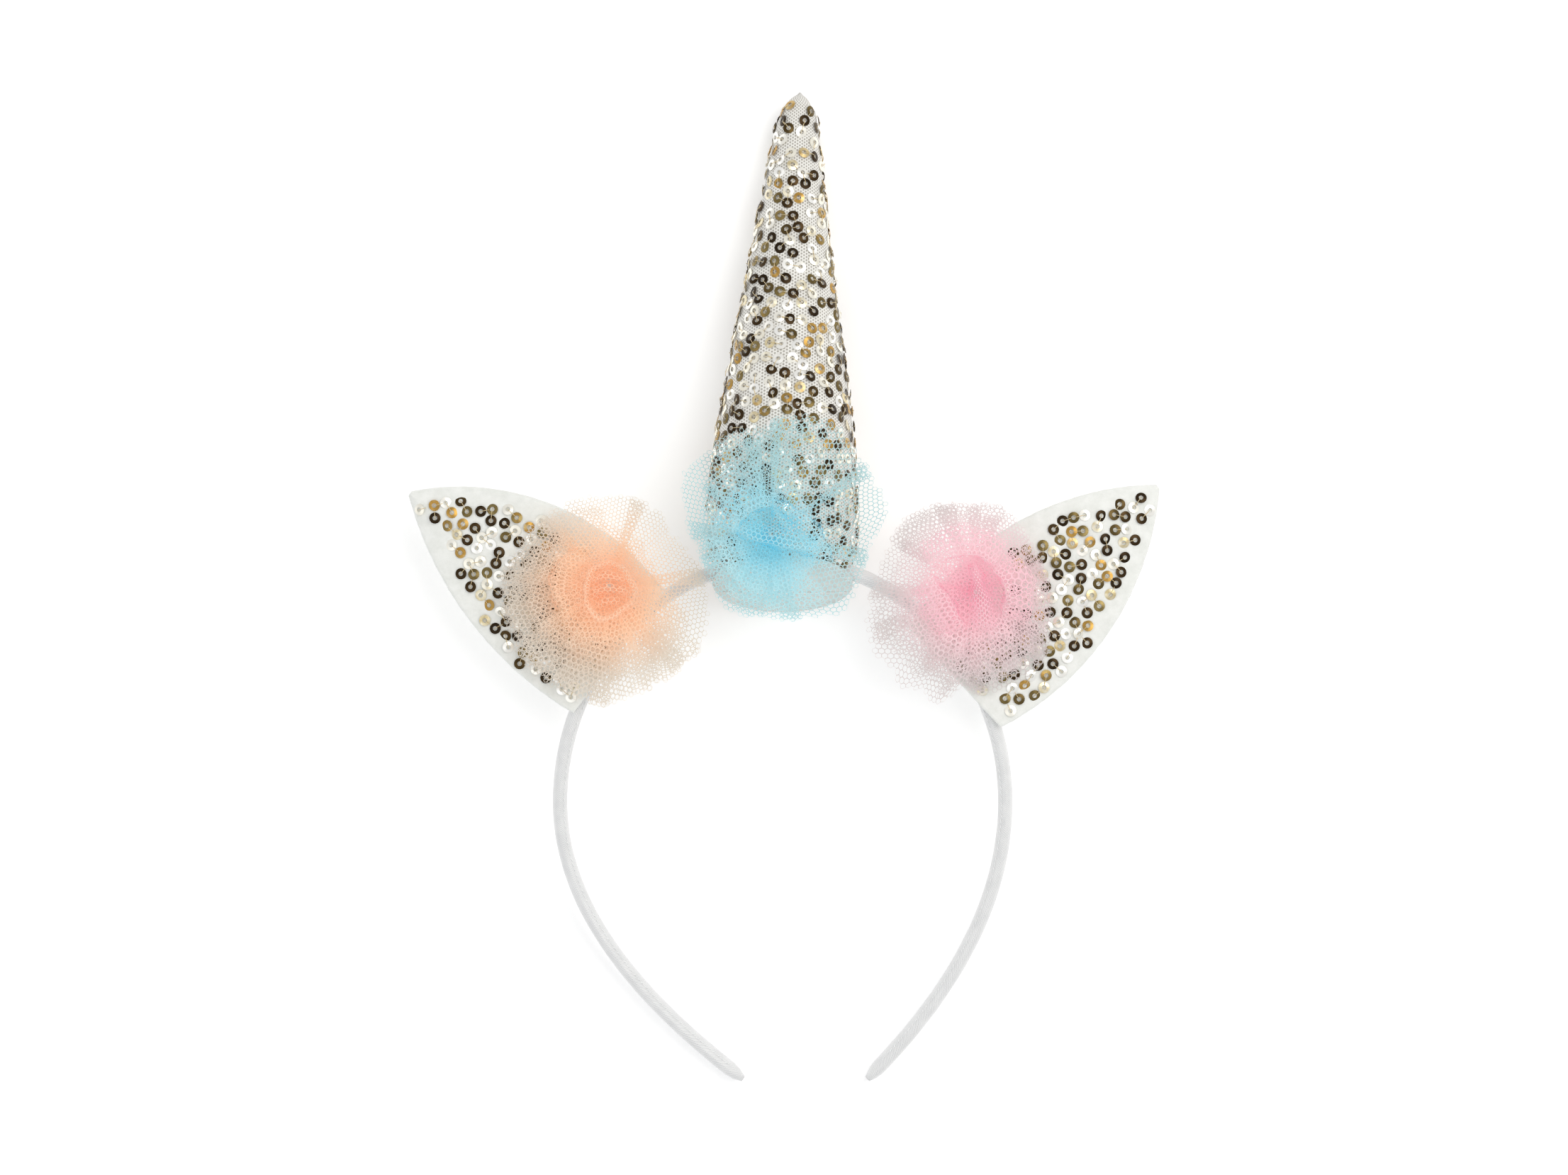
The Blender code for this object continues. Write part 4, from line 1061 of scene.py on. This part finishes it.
def cupPoints(rosette, cup):
    (foldWide, height), table = cup
    spread = np.array([math.hypot(x, y) for x, y in table]).mean() * mm
    foldWide *= mm
    width = height * mm * 0.75 + spread * 0.6 + foldWide
    columns, rows, along, out, area = strip(2 * math.pi * spread * 1.1, width)
    turn = 2 * math.pi * along - 0.5 * out
    near, left, right = (loopRadius(table, np.degrees(turn) + more) for more in (0, 14, -14))
    reach = (0.5 * near + 0.25 * (left + right)) * mm
    root, foldStart = 0.5 * mm, 0.82
    climb = np.minimum(out / foldStart, 1.0)  # past this the rim is folded over to the inside
    over = np.maximum((out - foldStart) / 0.18, 0.0)
    uneven = 1 + 0.10 * np.sin(3 * turn) + 0.06 * np.sin(5 * turn)
    distance = root + (reach - root) * np.sin(climb * math.pi / 2) ** 0.8
    distance += 0.3 * mm * np.sin(9 * turn) * climb * (1 - over) - over * foldWide * 0.55 * uneven
    distance += 0.35 * mm * np.sin(over * math.pi)
    z = (2.0 + (height * uneven - 2.0) * climb ** 1.5) * mm - over * foldWide * 0.5
    z += 0.5 * mm * np.sin(over * math.pi) + 0.8 * mm * np.sin(2 * turn) * climb
    x = rosette["heart"][0] + distance * np.cos(turn)
    y = rosette["heart"][1] + distance * np.sin(turn)
    # The colour is painted deep at the cup's foot, as in the layers, for the light that the heaped net filters
    # and shades there, and paler up the wall and over the folded lip
    depth = 0.04 + 0.26 * climb ** 2 + 0.30 * over
    return np.stack([x, y, z], 1), latticeFaces(columns, rows), depth, out * 0.9, area


def netTree():
    add, given = newTree("hexNet", {"Hole": "Float", "Ragged": "Float", "Seed": "Int", "Material": "Material"})
    cells = add("GeometryNodeDualMesh", inputs={"Mesh": given["Geometry"]})
    out = add("GeometryNodeInputNamedAttribute", {"data_type": "FLOAT"}, {"Name": "out"})
    near = add("FunctionNodeCompare", {"data_type": "FLOAT", "operation": "GREATER_THAN"}, (out, 0.93))
    chance = add("FunctionNodeRandomValue", {"data_type": "BOOLEAN"}, {
        "Probability": given["Ragged"], "Seed": given["Seed"]})
    both = add("FunctionNodeBooleanMath", {"operation": "AND"}, (near, chance.outputs[3]))
    cut = add("GeometryNodeDeleteGeometry", {"domain": "FACE"}, {"Geometry": cells, "Selection": both})
    holes = add("GeometryNodeExtrudeMesh", {"mode": "FACES"}, {
        "Mesh": cut, "Offset Scale": 0.0, "Individual": True}).outputs
    small = add("GeometryNodeScaleElements", {"domain": "FACE"}, {
        "Geometry": holes[0], "Selection": holes["Top"], "Scale": given["Hole"]})
    opened = add("GeometryNodeDeleteGeometry", {"domain": "FACE"}, {
        "Geometry": small, "Selection": holes["Top"]})
    return closeTree(add, opened, given["Material"])


netMaker = netTree()


def rosetteSeat(name):
    if name in lay["knots"]:
        place = crownPoint(*lay["knots"][name])[0]
        return lambda p: bandPlace(place.x + p[0], place.y + p[1], lay["rosetteSeat"] + p[2])
    up, high = lay["hornKnot"]
    seat = Vector((lay["shift"][0], lay["shift"][1] + up, high))
    return lambda p: seat + Vector(p)


def makeRosette(name):
    rosette = rosettes[name]
    parts = [layerPoints(rosette, layer) for layer in rosette["layers"]]
    parts += [ridgePoints(rosette, ridge, number) for number, ridge in enumerate(rosette["ridges"])]
    if "cup" in rosette:
        parts.append(cupPoints(rosette, rosette["cup"]))
    points, faces, depths, outs, area = [], [], [], [], 0.0
    for place, links, depth, out, flat in parts:
        faces += [tuple(len(points) + k for k in face) for face in links]
        points += list(place)
        depths += list(depth)
        outs += list(out)
        area += flat
    seat = rosetteSeat(name)
    sheet = meshObject(name + "Cloth", [seat(p) for p in points], faces, rosette["material"], smooth=False)
    pointValues(sheet, "depth", depths)
    pointValues(sheet, "out", outs)
    hole = 1 - tulle["thread"] / tulle["cell"]
    runTree(sheet, netMaker, {
        "Hole": hole, "Ragged": tulle["ragged"], "Seed": tulle["seed"], "Material": rosette["material"]})
    piece = name.replace("rosette", "tulle")
    made = bake(sheet, piece, rosette["material"])
    smoothAll(made)
    finishPiece(made, name)


for name in rosettes:
    makeRosette(name)
print("rosettes gathered")


# Floor, light and camera, as in a bright product photograph

studio = {
    "floor": 1.6, "floorGlow": 0.2, "worldLight": 0.72,
    "lamps": {  # place, width, power, colour
        "keyLight": ((0.55, 0.35, 1.1), 0.9, 6.0, "#fffdf9"),
        "fillLight": ((-0.7, -0.4, 1.0), 1.2, 2.0, "#f8fbff")},
    "cameraPlace": (0.0, -0.0006, 1.62), "sensor": 36.0, "lensReach": 1.6,
    "frameWidth": 0.4203,  # how much of the floor the picture shows, in metres
}


def makeStudio():
    made, add, shader = newMaterial("mattWhiteVinyl", {
        "Roughness": 0.85, "Specular IOR Level": 0.2,
        "Emission Color": linearColour("#ffffff"), "Emission Strength": studio["floorGlow"]})
    # Matt and nearly even, so that it shows only the part's soft shadow
    place = add("ShaderNodeTexCoord").outputs["Object"]
    grain = add("ShaderNodeTexNoise", inputs={"Vector": place, "Scale": 40.0, "Detail": 3.0})
    paint(add, shader, ((0.2, "#f6f6f6"), (0.8, "#fbfbfb")), grain)
    half = studio["floor"]
    corners = [(-half, -half, 0), (half, -half, 0), (half, half, 0), (-half, half, 0)]
    meshObject("floor", corners, [(0, 1, 2, 3)], made, False)
    world = bpy.data.worlds.new("softDome")
    bpy.context.scene.world = world
    world.use_nodes = True
    sky = world.node_tree.nodes["Background"]
    sky.inputs["Color"].default_value = linearColour("#ffffff")
    sky.inputs["Strength"].default_value = studio["worldLight"]
    for name, (place, size, power, colour) in studio["lamps"].items():
        light = bpy.data.lights.new(name, "AREA")
        light.size = size
        light.energy = power
        light.color = linearColour(colour)[:3]
        lamp = inScene(name, light)
        lamp.location = place
        lamp.rotation_euler = (-Vector(place)).to_track_quat("-Z", "Y").to_euler()
    view = bpy.data.cameras.new("camera")
    view.sensor_width = studio["sensor"]
    view.lens = studio["sensor"] * studio["lensReach"] / studio["frameWidth"]
    view.clip_start, view.clip_end = 0.05, 10.0
    camera = inScene("camera", view)
    camera.location = studio["cameraPlace"]
    bpy.context.scene.camera = camera
    bpy.context.scene.view_settings.view_transform = "Standard"


makeStudio()
print("studio made")
